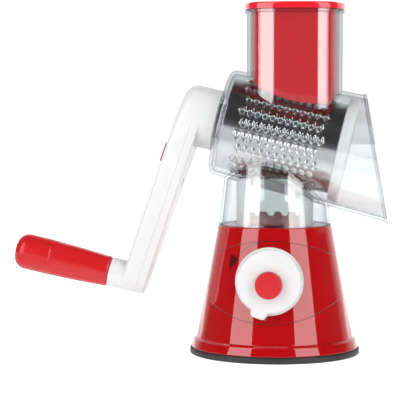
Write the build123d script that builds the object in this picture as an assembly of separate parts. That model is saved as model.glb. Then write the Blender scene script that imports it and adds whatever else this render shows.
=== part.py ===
"""Hand-cranked rotary cabbage shredder on a suction base.

All sizes are in millimetres.  The origin is the centre of the foot on the table,
+Z is up, +X is the side where the shreds fall out and -Y is the knob side.

The drum frame has its origin on the drum axis above the foot: its Z runs along
the axis towards the mouth, its X is square to the axis and points up.
"""
import os
from math import asin, atan, cos, degrees, pi, radians, sin, tan

from build123d import *

os.makedirs("parts", exist_ok=True)

# --- Clearances shared by every fit -------------------------------------------
RUNNING_FIT = 0.06        # radial gap of a shaft that turns in its bore
SLIDING_GAP = 0.35        # gap beside a piece that slides or turns past another
SEAT_GAP = 0.3            # gap beside a piece that is dropped into its seat

# --- Base -----------------------------------------------------------------------
FOOT_RADIUS = 65.3        # rubber foot ring
RUBBER_HEIGHT = 5.0
SKIRT_RADIUS = 64.4       # red skirt, where it meets the rubber
SKIRT_TOP_RADIUS = 62.3
SKIRT_HEIGHT = 6.5
STEP_HEIGHT = 1.6         # small shoulder between skirt and cone
CONE_LOW_RADIUS = 60.3
BASE_HEIGHT = 99.0
CONE_TOP_RADIUS = 43.7
BASE_WALL = 2.5
GROOVE_WIDTH = 0.7
GROOVE_DEPTH = 0.5
GROOVE_RADIUS = 91.0      # the fine bowed lines above and below the knob
GROOVE_FROM_KNOB = 30.5   # crest of each line, above and below the knob's axis

# --- Suction mechanism ------------------------------------------------------------
PLATE_RADIUS = 57.5
PLATE_THICKNESS = 3.0
SCREW_COUNT = 4
SCREW_CIRCLE = 53.0
SCREW_POST_RADIUS = 4.6
SCREW_POST_LENGTH = 16.0
SCREW_RADIUS = 1.75
SCREW_HEAD_RADIUS = 3.4
SCREW_HEAD_HEIGHT = 2.2
STEM_RADIUS = 4.0
STEM_FLANGE_RADIUS = 12.0
STEM_FLANGE_THICKNESS = 2.0
STEM_TRAVEL = 3.0
GUIDE_LENGTH = 16.0
GUIDE_WALL = 3.0
YOKE_BAR = 3.2
YOKE_THICKNESS = 7.0
CAM_LOW = 8.0             # cam radius under the yoke while the cup is released
CAM_GAP = 0.4
CAM_THICKNESS = 5.0
CAM_SHAFT_RADIUS = 5.0
BRACKET_FROM_AXIS = 9.0
BRACKET_THICKNESS = 3.5
BRACKET_WIDTH = 22.0
CAM_START = -20.0         # degrees before the released position where the cam begins to rise
CAM_END = 110.0           # degrees where its rise ends
CAM_BACK = (160.0, 250.0) # degrees through which its back is round
CUP_BOSS_HEIGHT = 2.5
CUP_SKIN = 2.5
CUP_EDGE = 0.8            # rounding of the foot ring

# --- Knob -------------------------------------------------------------------------
KNOB_HEIGHT = 59.0        # height of its axis above the table
KNOB_SEAT_Y = -57.2       # face of the boss behind it, measured from the base's axis
KNOB_BOSS_RADIUS = 23.0
KNOB_BOSS_DEPTH = 14.0
KNOB_LIFT = 1.9           # centre of its disc above its axis
KNOB_RADIUS = 25.3
KNOB_FLANGE = 2.4
KNOB_BODY_RADIUS = 23.6
KNOB_THICKNESS = 9.5
KNOB_ROUNDING = 2.2
KNOB_TAB_REACH = 28.2
KNOB_TAB_WIDTH = 13.0
KNOB_TAB_ANGLE = 19.5     # left of straight down
KNOB_CAP_RADIUS = 10.1
KNOB_CAP_RISE = 6.6
KNOB_CAP_SINK = 3.0
SCOOP_RADIUS = 27.0
SCOOP_DEPTH = 5.0
SCOOP_AWAY = 28.2         # centre of each scoop's sphere, from the knob's axis
SCOOP_HEADINGS = (78.0, 172.0)
KNOB_CAP_ROUNDING = 1.6

# --- Locking turret -----------------------------------------------------------------
TURRET_HEIGHT = 5.0
TURRET_TOOTH_HEIGHT = 3.0
TURRET_TEETH = 14
TURRET_WALL = 3.0

# --- Drum axis and drum ----------------------------------------------------------------
AXIS_HEIGHT = 168.2
AXIS_TILT = 13.0          # degrees down towards the mouth
DRUM_RADIUS = 35.0
DRUM_SHEET = 0.8
DRUM_REAR = -38.5
DRUM_FRONT = 50.0
TOOTH_ROWS = 22
TEETH_PER_ROW = 11
TOOTH_PITCH = 5.9
TOOTH_WIDTH = 4.7
TOOTH_LENGTH = 3.6
TOOTH_HEIGHT = 1.8
REAR_BAND = 10.0          # plain sheet behind the first tooth
DRUM_HUB_THICKNESS = 3.0
DRUM_BOSS_RADIUS = 13.4
DRUM_BOSS_LENGTH = 33.0
END_RING_LENGTH = 8.0
END_RING_RADIUS = 40.2
END_RING_SLEEVE = 6.0
END_RING_WALL = 1.4

# --- Clear moulding ----------------------------------------------------------------------
CLEAR_WALL = 2.5
COLUMN_RADIUS = 43.2      # at the top of the base
COLUMN_TAPER = 0.1127     # radius lost for each millimetre of height
SOCKET_RADIUS = 29.5      # inner tube that drops over the turret
HOUSING_REAR = -43.6
HOUSING_RADIUS = 41.0     # at its rear
HOUSING_TAPER = 0.036     # radius gained for each millimetre towards the mouth
HOUSING_ROUNDING = 5.0
MOUTH_TOP = 61.5          # where the slanted mouth meets the top of the housing
MOUTH_BOTTOM = 99.6
MOUTH_BEAD = 0.9
MOUTH_BEAD_WIDTH = 2.2
BEARING_RADIUS = 17.0
BEARING_LENGTH = 1.4
CHUTE_X = 15.0
CHUTE_LENGTH = 72.8       # along X
CHUTE_WIDTH = 74.5        # along Y
CHUTE_CORNER = 20.0
CHUTE_TOP = 263.0
CHUTE_LIP = 1.4
CHUTE_LIP_HEIGHT = 2.6

# --- Pusher -------------------------------------------------------------------------------
PUSHER_WALL = 2.5
PUSHER_GAP = 0.9
PUSHER_RIM_OVERHANG = 1.9
PUSHER_RIM_HEIGHT = 4.8
PUSHER_RIM_ROUNDING = 1.2
PUSHER_FROM_DRUM = 1.0    # between the tooth tips and the pusher's foot
PUSHER_FOOT_RADIUS = 63.0

# --- Crank ----------------------------------------------------------------------------------
CRANK_HUB_RADIUS = 23.4
CRANK_HUB_GAP = 0.4
CRANK_LENGTH = 131.0      # from the drum axis to the centre of the arm's round end
CRANK_END_RADIUS = 13.5
ARM_LEAN = 6.3            # degrees, outwards from square to the axis
ARM_THICKNESS = 19.7      # measured along the drum axis
ARM_INNER_AT_AXIS = -55.6
ARM_COVER = 6.5
ARM_WALL = 2.6
ARM_ROUNDING = 4.5
HUB_CAP = 3.0             # plastic between the drum boss and the outer face
CRANK_SCREW_SHARES = (0.4, 0.8)   # places of its screws, as shares of its length

# --- Release button -----------------------------------------------------------------------------
BUTTON_TOP = -25.0
BUTTON_LENGTH = 15.0
BUTTON_WIDTH = 15.0
BUTTON_RISE = 1.6
LATCH_TRAVEL = 3.0
LATCH_BITE = 2.2
LATCH_WIDTH = 5.0
LATCH_THICKNESS = 4.0
LATCH_FROM_BOSS_END = 4.5
SPRING_RADIUS = 2.4
SPRING_WIRE = 0.7
SPRING_LENGTH = 9.0
SPRING_SEAT = 2.0

# --- Grip ----------------------------------------------------------------------------------------
GRIP_BEYOND_END = 2.5     # grip axis beyond the centre of the arm's round end
GRIP_SOCKET_LENGTH = 11.0
GRIP_SOCKET_RADIUS = 11.7
GRIP_NECK_RADIUS = 11.7
GRIP_FULL_RADIUS = 13.8
GRIP_SLEEVE_LENGTH = 48.0
GRIP_CAP_LENGTH = 28.0
GRIP_CAP_ROUNDING = 9.0
GRIP_PANELS = 6
GRIP_PANEL_DEPTH = 0.5
GRIP_EDGE = 1.2           # rounding at the grip's neck
GRIP_SEAM = 0.5           # rounding between sleeve and end cap
PANEL_END = 3.0           # full round left at each end of the panels
AXLE_RADIUS = 4.0
AXLE_HEAD_RADIUS = 7.0
AXLE_HEAD_THICKNESS = 2.0
WASHER_THICKNESS = 1.5

# --- Values worked out from the ones above ----------------------------------------------------------
DRUM_FRAME = Plane(
    origin=(0, 0, AXIS_HEIGHT),
    x_dir=(sin(radians(AXIS_TILT)), 0, cos(radians(AXIS_TILT))),
    z_dir=(cos(radians(AXIS_TILT)), 0, -sin(radians(AXIS_TILT))),
)
KNOB_FRAME = Plane(origin=(0, KNOB_SEAT_Y, KNOB_HEIGHT), x_dir=(1, 0, 0), z_dir=(0, -1, 0))
TOOTH_TIP = DRUM_RADIUS + TOOTH_HEIGHT
CONE_START = RUBBER_HEIGHT + SKIRT_HEIGHT + STEP_HEIGHT
BOSS_END = DRUM_REAR - DRUM_BOSS_LENGTH
BEARING_END = HOUSING_REAR - BEARING_LENGTH
LATCH_AT = BOSS_END + LATCH_FROM_BOSS_END
TURRET_RADIUS = SOCKET_RADIUS - CLEAR_WALL - SEAT_GAP
CRANK_SCREW_PLACES = [-share * CRANK_LENGTH for share in CRANK_SCREW_SHARES]
BUTTON_GAP = LATCH_TRAVEL * tan(radians(ARM_LEAN)) + SEAT_GAP / 2
GRIP_OFFSET = CRANK_LENGTH + GRIP_BEYOND_END
ARM_END_FACE = ARM_INNER_AT_AXIS - ARM_THICKNESS - GRIP_OFFSET * tan(radians(ARM_LEAN))
GRIP_START = ARM_END_FACE - GRIP_SOCKET_LENGTH
SLEEVE_END = GRIP_START - GRIP_SLEEVE_LENGTH
AXLE_SEAT = ARM_INNER_AT_AXIS - ARM_COVER - (GRIP_OFFSET + AXLE_HEAD_RADIUS) * tan(radians(ARM_LEAN))
FAR = 400.0               # longer than anything here, for cutting tools


def turned(corners, rounds=()):
    """Solid turned about Z from (radius, height) corners; rounds are (corner, radius)."""
    face = make_face(Polyline(*corners, close=True))
    for corner, radius in rounds:
        spot = Vector(*corners[corner])
        vertex = min(face.vertices(), key=lambda v: (Vector(v.X, v.Y) - spot).length)
        face = fillet(vertex, radius)
    return revolve(Plane.XZ * face, Axis.Z)


def rod(radius, start, end):
    """Round bar on the local Z axis between two heights."""
    return Pos(0, 0, min(start, end)) * Cylinder(
        radius, abs(end - start), align=(Align.CENTER, Align.CENTER, Align.MIN)
    )


def block(x_range, y_range, z_range):
    """Box between three pairs of limits."""
    sizes = [limits[1] - limits[0] for limits in (x_range, y_range, z_range)]
    middle = [(limits[1] + limits[0]) / 2 for limits in (x_range, y_range, z_range)]
    return Pos(*middle) * Box(*sizes)


def rounded_prism(length, width, corner, start, end):
    """Upright prism with rounded corners between two heights."""
    return Pos(0, 0, start) * extrude(RectangleRounded(length, width, corner), end - start)


def in_drum(shape):
    """Move a shape from the drum frame to the part's frame."""
    return DRUM_FRAME.location * shape


# --- Base -------------------------------------------------------------------------------------------

def base_outside(shrink=0.0):
    """Solid within the base's outer surface, drawn in by a shrink."""
    skirt_top = RUBBER_HEIGHT + SKIRT_HEIGHT
    corners = [
        (0, RUBBER_HEIGHT),
        (SKIRT_RADIUS - shrink, RUBBER_HEIGHT),
        (SKIRT_TOP_RADIUS - shrink, skirt_top),
        (CONE_LOW_RADIUS - shrink, CONE_START),
        (CONE_TOP_RADIUS - shrink, BASE_HEIGHT - shrink),
        (0, BASE_HEIGHT - shrink),
    ]
    return turned(corners)


def bowed_grooves():
    """The two fine bowed lines, cut a little way into the cone."""
    skin = base_outside() - base_outside(GROOVE_DEPTH)
    bowl = Rot(90, 0, 0) * Cylinder(GROOVE_RADIUS, FAR) - Rot(90, 0, 0) * Cylinder(
        GROOVE_RADIUS - GROOVE_WIDTH, FAR
    )
    upper = Pos(0, 0, KNOB_HEIGHT + GROOVE_FROM_KNOB - GROOVE_RADIUS) * bowl
    lower = Pos(0, 0, KNOB_HEIGHT - GROOVE_FROM_KNOB + GROOVE_RADIUS) * bowl
    upper &= block((-FAR, FAR), (-FAR, FAR), (KNOB_HEIGHT, FAR))
    lower &= block((-FAR, FAR), (-FAR, FAR), (CONE_START, KNOB_HEIGHT))
    return (skin & upper) + (skin & lower)


def screw_places():
    """Locations of the screws that hold the base plate."""
    return PolarLocations(SCREW_CIRCLE, SCREW_COUNT, start_angle=180 / SCREW_COUNT)


def make_base_shell():
    """Red shell: skirt, cone, hollow knob boss, screw posts and top deck."""
    boss = KNOB_FRAME.location * rod(KNOB_BOSS_RADIUS, -KNOB_BOSS_DEPTH, 0)
    shell = base_outside() + boss - (base_outside(BASE_WALL) - boss)
    shell -= KNOB_FRAME.location * rod(KNOB_BOSS_RADIUS - BASE_WALL, -KNOB_BOSS_DEPTH, -BASE_WALL)
    shell -= rod(PLATE_RADIUS + SEAT_GAP, 0, RUBBER_HEIGHT + PLATE_THICKNESS)
    post_start = RUBBER_HEIGHT + PLATE_THICKNESS
    posts = screw_places() * rod(SCREW_POST_RADIUS, post_start, post_start + SCREW_POST_LENGTH)
    shell += Part() + posts & base_outside(GROOVE_DEPTH)
    shell -= Part() + screw_places() * rod(SCREW_RADIUS, 0, post_start + SCREW_POST_LENGTH - BASE_WALL)
    shell -= KNOB_FRAME.location * rod(CAM_SHAFT_RADIUS + RUNNING_FIT, -FAR / 4, FAR / 4)
    return shell - bowed_grooves()


def make_base_plate():
    """Plate that closes the base, guides the stem and carries the cam shaft's rear end."""
    top = RUBBER_HEIGHT + PLATE_THICKNESS
    well = STEM_FLANGE_RADIUS + SLIDING_GAP * 4
    ceiling = RUBBER_HEIGHT + CUP_BOSS_HEIGHT + STEM_FLANGE_THICKNESS + STEM_TRAVEL + SLIDING_GAP * 2
    bore = STEM_RADIUS + RUNNING_FIT
    plate = turned([
        (well, RUBBER_HEIGHT),
        (PLATE_RADIUS, RUBBER_HEIGHT),
        (PLATE_RADIUS, top),
        (well + GUIDE_WALL, top),
        (well + GUIDE_WALL, ceiling + GUIDE_WALL),
        (bore + GUIDE_WALL, ceiling + GUIDE_WALL),
        (bore + GUIDE_WALL, ceiling + GUIDE_LENGTH),
        (bore, ceiling + GUIDE_LENGTH),
        (bore, ceiling),
        (well, ceiling),
    ])
    half = BRACKET_WIDTH / 2
    front = BRACKET_FROM_AXIS
    rear = BRACKET_FROM_AXIS + BRACKET_THICKNESS
    bracket = block((-half, half), (front, rear), (ceiling + GUIDE_WALL / 2, KNOB_HEIGHT))
    bracket += Pos(0, 0, KNOB_HEIGHT) * Rot(-90, 0, 0) * rod(half, front, rear)
    bracket -= Pos(0, 0, KNOB_HEIGHT) * Rot(-90, 0, 0) * rod(CAM_SHAFT_RADIUS + RUNNING_FIT, 0, FAR / 4)
    plate += bracket
    return plate - (Part() + screw_places() * rod(SCREW_RADIUS, 0, FAR / 4))


def screw(length):
    """Pan head screw, head downwards, its shank rising from Z = 0."""
    head = turned(
        [(0, -SCREW_HEAD_HEIGHT), (SCREW_HEAD_RADIUS, -SCREW_HEAD_HEIGHT), (SCREW_HEAD_RADIUS, 0), (0, 0)],
        [(1, SCREW_HEAD_HEIGHT / 2)],
    )
    return head + rod(SCREW_RADIUS, 0, length)


def make_base_screws():
    """Screws up through the plate into the posts."""
    length = PLATE_THICKNESS + SCREW_POST_LENGTH - BASE_WALL * 2
    return Compound(children=[place * Pos(0, 0, RUBBER_HEIGHT) * screw(length) for place in screw_places()])


def make_suction_cup():
    """Rubber foot ring and suction membrane in one."""
    pocket = SCREW_CIRCLE - SCREW_HEAD_RADIUS - 1
    cup = turned([
        (0, RUBBER_HEIGHT - CUP_SKIN),
        (pocket, RUBBER_HEIGHT - CUP_SKIN - 1),
        (PLATE_RADIUS + 1, 0),
        (FOOT_RADIUS, 0),
        (FOOT_RADIUS, RUBBER_HEIGHT),
        (STEM_FLANGE_RADIUS, RUBBER_HEIGHT),
        (STEM_FLANGE_RADIUS, RUBBER_HEIGHT + CUP_BOSS_HEIGHT),
        (0, RUBBER_HEIGHT + CUP_BOSS_HEIGHT),
    ], [(3, CUP_EDGE), (4, CUP_EDGE)])
    seats = screw_places() * rod(SCREW_HEAD_RADIUS + SEAT_GAP, RUBBER_HEIGHT - SCREW_HEAD_HEIGHT, FAR / 4)
    return cup - (Part() + seats)


def cam_reach(turn):
    """Cam radius at an angle against the knob's locking turn, in radians."""
    return CAM_LOW + STEM_TRAVEL * turn / (pi / 2)


def make_lift_stem():
    """Stem that pulls the membrane up: flange, rod and the yoke round the cam."""
    flange_base = RUBBER_HEIGHT + CUP_BOSS_HEIGHT
    window_half = cam_reach(radians(CAM_END)) + SLIDING_GAP * 2
    window_top = KNOB_HEIGHT + CAM_LOW + CAM_GAP
    window_low = KNOB_HEIGHT - CAM_LOW - STEM_TRAVEL - SLIDING_GAP
    outer = window_half + YOKE_BAR
    half_thick = YOKE_THICKNESS / 2
    stem = rod(STEM_FLANGE_RADIUS, flange_base, flange_base + STEM_FLANGE_THICKNESS)
    stem += rod(STEM_RADIUS, flange_base, window_low - YOKE_BAR / 2)
    yoke = block((-outer, outer), (-half_thick, half_thick), (window_low - YOKE_BAR, window_top + YOKE_BAR))
    yoke -= block((-window_half, window_half), (-FAR, FAR), (window_low, window_top))
    return stem + yoke


def make_cam_shaft():
    """Shaft behind the knob with its snail cam inside the yoke."""
    last = radians(CAM_END)
    first = radians(CAM_START)
    steps = 12
    turns = [first + (last - first) * step / steps for step in range(steps + 1)]
    rise = [(-cam_reach(a) * sin(a), cam_reach(a) * cos(a)) for a in turns]
    low = cam_reach(first)
    back = [(-low * sin(a), low * cos(a)) for a in map(radians, CAM_BACK)]
    edge = Spline(*rise) + Line(rise[-1], back[0]) + ThreePointArc(back[0], back[1], rise[0])
    cam = extrude(make_face(edge), CAM_THICKNESS / 2, both=True)
    shaft = Pos(0, 0, KNOB_HEIGHT) * Rot(90, 0, 0) * cam
    rear = BRACKET_FROM_AXIS + BRACKET_THICKNESS + SLIDING_GAP * 4
    shaft += Pos(0, 0, KNOB_HEIGHT) * Rot(-90, 0, 0) * rod(CAM_SHAFT_RADIUS, KNOB_SEAT_Y - KNOB_FLANGE, rear)
    return shaft - KNOB_FRAME.location * rod(SCREW_RADIUS, -SCREW_POST_LENGTH / 2, FAR / 4)


# --- Knob --------------------------------------------------------------------------------------------

def make_knob():
    """White knob: flange, body with two finger scoops, and the grip tab."""
    lift = SLIDING_GAP
    top = lift + KNOB_THICKNESS
    body = turned([
        (0, lift),
        (KNOB_RADIUS, lift),
        (KNOB_RADIUS, lift + KNOB_FLANGE),
        (KNOB_BODY_RADIUS, lift + KNOB_FLANGE * 1.6),
        (KNOB_BODY_RADIUS - 1, top),
        (0, top),
    ], [(2, KNOB_FLANGE / 3), (4, KNOB_ROUNDING)])
    body = Pos(0, KNOB_LIFT, 0) * body
    tab = block(
        (-KNOB_TAB_WIDTH / 2, KNOB_TAB_WIDTH / 2), (-KNOB_TAB_REACH, -KNOB_CAP_RADIUS), (lift, top - 1)
    )
    tab = fillet(tab.edges().filter_by(Axis.Z).group_by(Axis.Y)[0], KNOB_TAB_WIDTH / 4)
    body += Rot(0, 0, -KNOB_TAB_ANGLE) * tab
    scoop_lift = top - SCOOP_DEPTH + SCOOP_RADIUS
    for heading in SCOOP_HEADINGS:
        body -= Rot(0, 0, heading) * Pos(SCOOP_AWAY, 0, scoop_lift) * Sphere(SCOOP_RADIUS)
    body -= rod(KNOB_CAP_RADIUS + SEAT_GAP / 10, top - KNOB_CAP_SINK, FAR / 4)
    body -= rod(CAM_SHAFT_RADIUS, lift - 1, KNOB_FLANGE)
    body -= rod(SCREW_RADIUS, 0, FAR / 4)
    return KNOB_FRAME.location * body


def make_knob_cap():
    """Red cap over the knob's screw."""
    base = SLIDING_GAP + KNOB_THICKNESS - KNOB_CAP_SINK
    cap = turned([
        (0, base + SCREW_HEAD_HEIGHT + SEAT_GAP),
        (SCREW_HEAD_RADIUS + SEAT_GAP, base + SCREW_HEAD_HEIGHT + SEAT_GAP),
        (SCREW_HEAD_RADIUS + SEAT_GAP, base),
        (KNOB_CAP_RADIUS, base),
        (KNOB_CAP_RADIUS - 0.3, base + KNOB_CAP_SINK + KNOB_CAP_RISE),
        (0, base + KNOB_CAP_SINK + KNOB_CAP_RISE),
    ], [(4, KNOB_CAP_ROUNDING)])
    return KNOB_FRAME.location * cap


def make_knob_screw():
    """Screw that holds the knob on the cam shaft."""
    base = SLIDING_GAP + KNOB_THICKNESS - KNOB_CAP_SINK
    length = base + SCREW_POST_LENGTH / 2 - 1
    return KNOB_FRAME.location * Pos(0, 0, base) * Rot(180, 0, 0) * screw(length)


# --- Turret and clear moulding --------------------------------------------------------------------------

def make_turret():
    """Red toothed ring on the deck, on which the clear moulding is turned to lock."""
    inner = TURRET_RADIUS - TURRET_WALL
    ring = rod(TURRET_RADIUS, 0, TURRET_HEIGHT + TURRET_TOOTH_HEIGHT)
    ring -= rod(inner, 0, FAR)
    gap_width = pi * TURRET_RADIUS / TURRET_TEETH
    gap = block((inner - 1, TURRET_RADIUS + 1), (-gap_width / 2, gap_width / 2), (TURRET_HEIGHT, FAR))
    for number in range(TURRET_TEETH):
        ring -= Rot(0, 0, 360 / TURRET_TEETH * number) * gap
    return Pos(0, 0, BASE_HEIGHT) * ring


def housing_radius(along, wall=0.0):
    """Radius of the conical housing at a place along the axis, inside a wall."""
    return HOUSING_RADIUS - wall + HOUSING_TAPER * (along - HOUSING_REAR)


def housing_solid(wall=0.0, end=MOUTH_BOTTOM + 10):
    """Conical body of the housing, drawn in by a wall, in the drum frame."""
    rear = HOUSING_REAR + wall
    rounding = HOUSING_ROUNDING - wall
    corners = [
        (0, rear),
        (housing_radius(rear, wall), rear),
        (housing_radius(end, wall), end),
        (0, end),
    ]
    return turned(corners, [(1, rounding)])


def behind_mouth(shift=0.0):
    """Everything behind the slanted mouth plane, in the drum frame."""
    top = (housing_radius(MOUTH_TOP), MOUTH_TOP - shift)
    low = (-housing_radius(MOUTH_BOTTOM), MOUTH_BOTTOM - shift)
    slope = (low[1] - top[1]) / (low[0] - top[0])
    side = Polyline(
        (FAR, -FAR), (FAR, top[1] + slope * (FAR - top[0])),
        (-FAR, top[1] + slope * (-FAR - top[0])), (-FAR, -FAR), close=True,
    )
    return Plane.XZ * extrude(make_face(side), FAR / 2, both=True)


def chute_solid(wall=0.0, start=0.0, end=CHUTE_TOP):
    """Upright rounded prism of the chute, drawn in by a wall."""
    prism = rounded_prism(
        CHUTE_LENGTH - 2 * wall, CHUTE_WIDTH - 2 * wall, CHUTE_CORNER - wall, start, end
    )
    return Pos(CHUTE_X, 0, 0) * prism


def make_clear_body():
    """One clear moulding: column, drum housing, mouth guard and feed chute."""
    column_top = AXIS_HEIGHT - HOUSING_RADIUS / 3
    height = column_top - BASE_HEIGHT
    column = turned([
        (COLUMN_RADIUS - CLEAR_WALL, BASE_HEIGHT),
        (COLUMN_RADIUS, BASE_HEIGHT),
        (COLUMN_RADIUS - COLUMN_TAPER * height, column_top),
        (COLUMN_RADIUS - COLUMN_TAPER * height - CLEAR_WALL, column_top),
    ])
    column += rod(SOCKET_RADIUS, BASE_HEIGHT, column_top) - rod(SOCKET_RADIUS - CLEAR_WALL, 0, FAR)
    housing = housing_solid() & behind_mouth()
    bead = housing_solid(-MOUTH_BEAD) & (behind_mouth() - behind_mouth(MOUTH_BEAD_WIDTH))
    housing += bead
    housing += rod(BEARING_RADIUS, HOUSING_REAR + CLEAR_WALL, BEARING_END)
    above_axis = in_drum(block((0, FAR), (-FAR, FAR), (-FAR, FAR)))
    chute = chute_solid() + chute_solid(-CHUTE_LIP, CHUTE_TOP - CHUTE_LIP_HEIGHT)
    body = column + in_drum(housing) + (chute & above_axis)
    body -= in_drum(housing_solid(CLEAR_WALL))
    body -= chute_solid(CLEAR_WALL, 0, FAR) & above_axis
    body -= in_drum(rod(DRUM_BOSS_RADIUS + RUNNING_FIT, HOUSING_REAR - FAR / 4, 0))
    return body


# --- Pusher ---------------------------------------------------------------------------------------------------

def make_pusher():
    """Red open-topped pusher, hanging by its rim on the chute."""
    inset = CLEAR_WALL + PUSHER_GAP
    foot_axis = TOOTH_TIP + PUSHER_FROM_DRUM - PUSHER_FOOT_RADIUS

    def drum_side(grow):
        """Space under the pusher's hollowed foot, grown by a wall."""
        tunnel = rod(PUSHER_FOOT_RADIUS + grow, -FAR, FAR)
        below = block((-FAR, foot_axis), (-FAR, FAR), (-FAR, FAR))
        return in_drum(Pos(foot_axis, 0, 0) * tunnel + below)

    body = chute_solid(inset, AXIS_HEIGHT, CHUTE_TOP + PUSHER_RIM_HEIGHT) - drum_side(0)
    rim = chute_solid(-PUSHER_RIM_OVERHANG, CHUTE_TOP, CHUTE_TOP + PUSHER_RIM_HEIGHT)
    rim = fillet(rim.edges().group_by(Axis.Z)[-1], PUSHER_RIM_ROUNDING)
    cavity = chute_solid(inset + PUSHER_WALL, AXIS_HEIGHT, FAR) - drum_side(PUSHER_WALL)
    return body + rim - cavity


# --- Drum ---------------------------------------------------------------------------------------------------------

def drum_teeth():
    """Lists of the raised teeth and of the punched openings in front of them."""
    tooth = Wedge(
        TOOTH_LENGTH, TOOTH_HEIGHT + DRUM_SHEET / 2, TOOTH_WIDTH,
        0, TOOTH_WIDTH / 4, TOOTH_LENGTH / 6, TOOTH_WIDTH * 3 / 4,
        align=(Align.MIN, Align.MIN, Align.CENTER),
    )
    opening = block(
        (-TOOTH_LENGTH * 0.55, TOOTH_LENGTH * 0.25), (-DRUM_SHEET, DRUM_SHEET + TOOTH_HEIGHT / 3),
        (-TOOTH_WIDTH * 0.36, TOOTH_WIDTH * 0.36),
    )
    raised = []
    punched = []
    first = DRUM_REAR + REAR_BAND + TOOTH_WIDTH / 2
    for row in range(TOOTH_ROWS):
        stagger = TOOTH_PITCH / 2 * (row % 2)
        turn = Rot(0, 0, 360 / TOOTH_ROWS * row)
        for number in range(TEETH_PER_ROW):
            along = first + stagger + TOOTH_PITCH * number
            place = turn * Pos(0, DRUM_RADIUS - DRUM_SHEET / 2, along)
            raised.append(place * tooth)
            punched.append(place * opening)
    return raised, punched


def make_grater_drum():
    """Steel drum with its staggered punched teeth."""
    sheet = rod(DRUM_RADIUS, DRUM_REAR, DRUM_FRONT) - rod(DRUM_RADIUS - DRUM_SHEET, -FAR, FAR)
    raised, punched = drum_teeth()
    sheet = sheet.fuse(*raised)
    return in_drum(sheet.cut(*punched))


def make_drum_hub():
    """White hub plate inside the drum's rear end, with the boss that drives it."""
    plate_radius = DRUM_RADIUS - DRUM_SHEET
    hub = rod(plate_radius, DRUM_REAR, DRUM_REAR + DRUM_HUB_THICKNESS)
    hub += rod(DRUM_BOSS_RADIUS, DRUM_REAR + DRUM_HUB_THICKNESS, BOSS_END)
    hub -= rod(DRUM_BOSS_RADIUS - CLEAR_WALL, DRUM_REAR - CLEAR_WALL, BOSS_END)
    return in_drum(hub - latch_section((-FAR, 0), SLIDING_GAP))


def make_end_ring():
    """White ring on the drum's open end, with a sleeve inside the sheet."""
    sleeve_radius = DRUM_RADIUS - DRUM_SHEET
    end = DRUM_FRONT + END_RING_LENGTH
    ring = turned([
        (sleeve_radius - END_RING_WALL, DRUM_FRONT - END_RING_SLEEVE),
        (sleeve_radius, DRUM_FRONT - END_RING_SLEEVE),
        (sleeve_radius, DRUM_FRONT),
        (END_RING_RADIUS - 1.2, DRUM_FRONT),
        (END_RING_RADIUS, DRUM_FRONT + END_RING_LENGTH / 2),
        (END_RING_RADIUS, end),
        (sleeve_radius - END_RING_WALL, end),
    ], [(5, 1.5)])
    return in_drum(ring)


# --- Crank --------------------------------------------------------------------------------------------------------------

def arm_plan(shrink=0.0):
    """Outline of hub and arm seen along the axis, drawn in by a wall."""
    hub = CRANK_HUB_RADIUS - shrink
    end = CRANK_END_RADIUS - shrink
    lean = asin((hub - end) / CRANK_LENGTH)
    web = Polyline(
        (-hub * sin(lean), hub * cos(lean)),
        (-CRANK_LENGTH - end * sin(lean), end * cos(lean)),
        (-CRANK_LENGTH - end * sin(lean), -end * cos(lean)),
        (-hub * sin(lean), -hub * cos(lean)),
        close=True,
    )
    return Circle(hub) + Pos(-CRANK_LENGTH, 0) * Circle(end) + make_face(web)


def arm_slab(inner, outer):
    """Leaning slab between two depths behind the arm's inner face, in the drum frame."""
    slope = tan(radians(ARM_LEAN))
    near = ARM_INNER_AT_AXIS - inner
    far = ARM_INNER_AT_AXIS - outer
    side = Polyline(
        (FAR, near + slope * FAR), (-FAR, near - slope * FAR),
        (-FAR, far - slope * FAR), (FAR, far + slope * FAR), close=True,
    )
    return Plane.XZ * extrude(make_face(side), FAR / 4, both=True)


def arm_prism(shrink, inner, outer):
    """Arm outline extruded between two depths, with slanted faces."""
    prism = Pos(0, 0, -FAR / 2) * extrude(arm_plan(shrink), FAR / 2)
    return prism & arm_slab(inner, outer)


def arm_face(place):
    """Where the arm's inner face lies along the axis, at a place along the arm."""
    return ARM_INNER_AT_AXIS + place * tan(radians(ARM_LEAN))


def crank_hub():
    """Cylinder of the hub between the housing's bearing and the arm."""
    return rod(CRANK_HUB_RADIUS, BEARING_END - CRANK_HUB_GAP, ARM_INNER_AT_AXIS - ARM_COVER)


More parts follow.
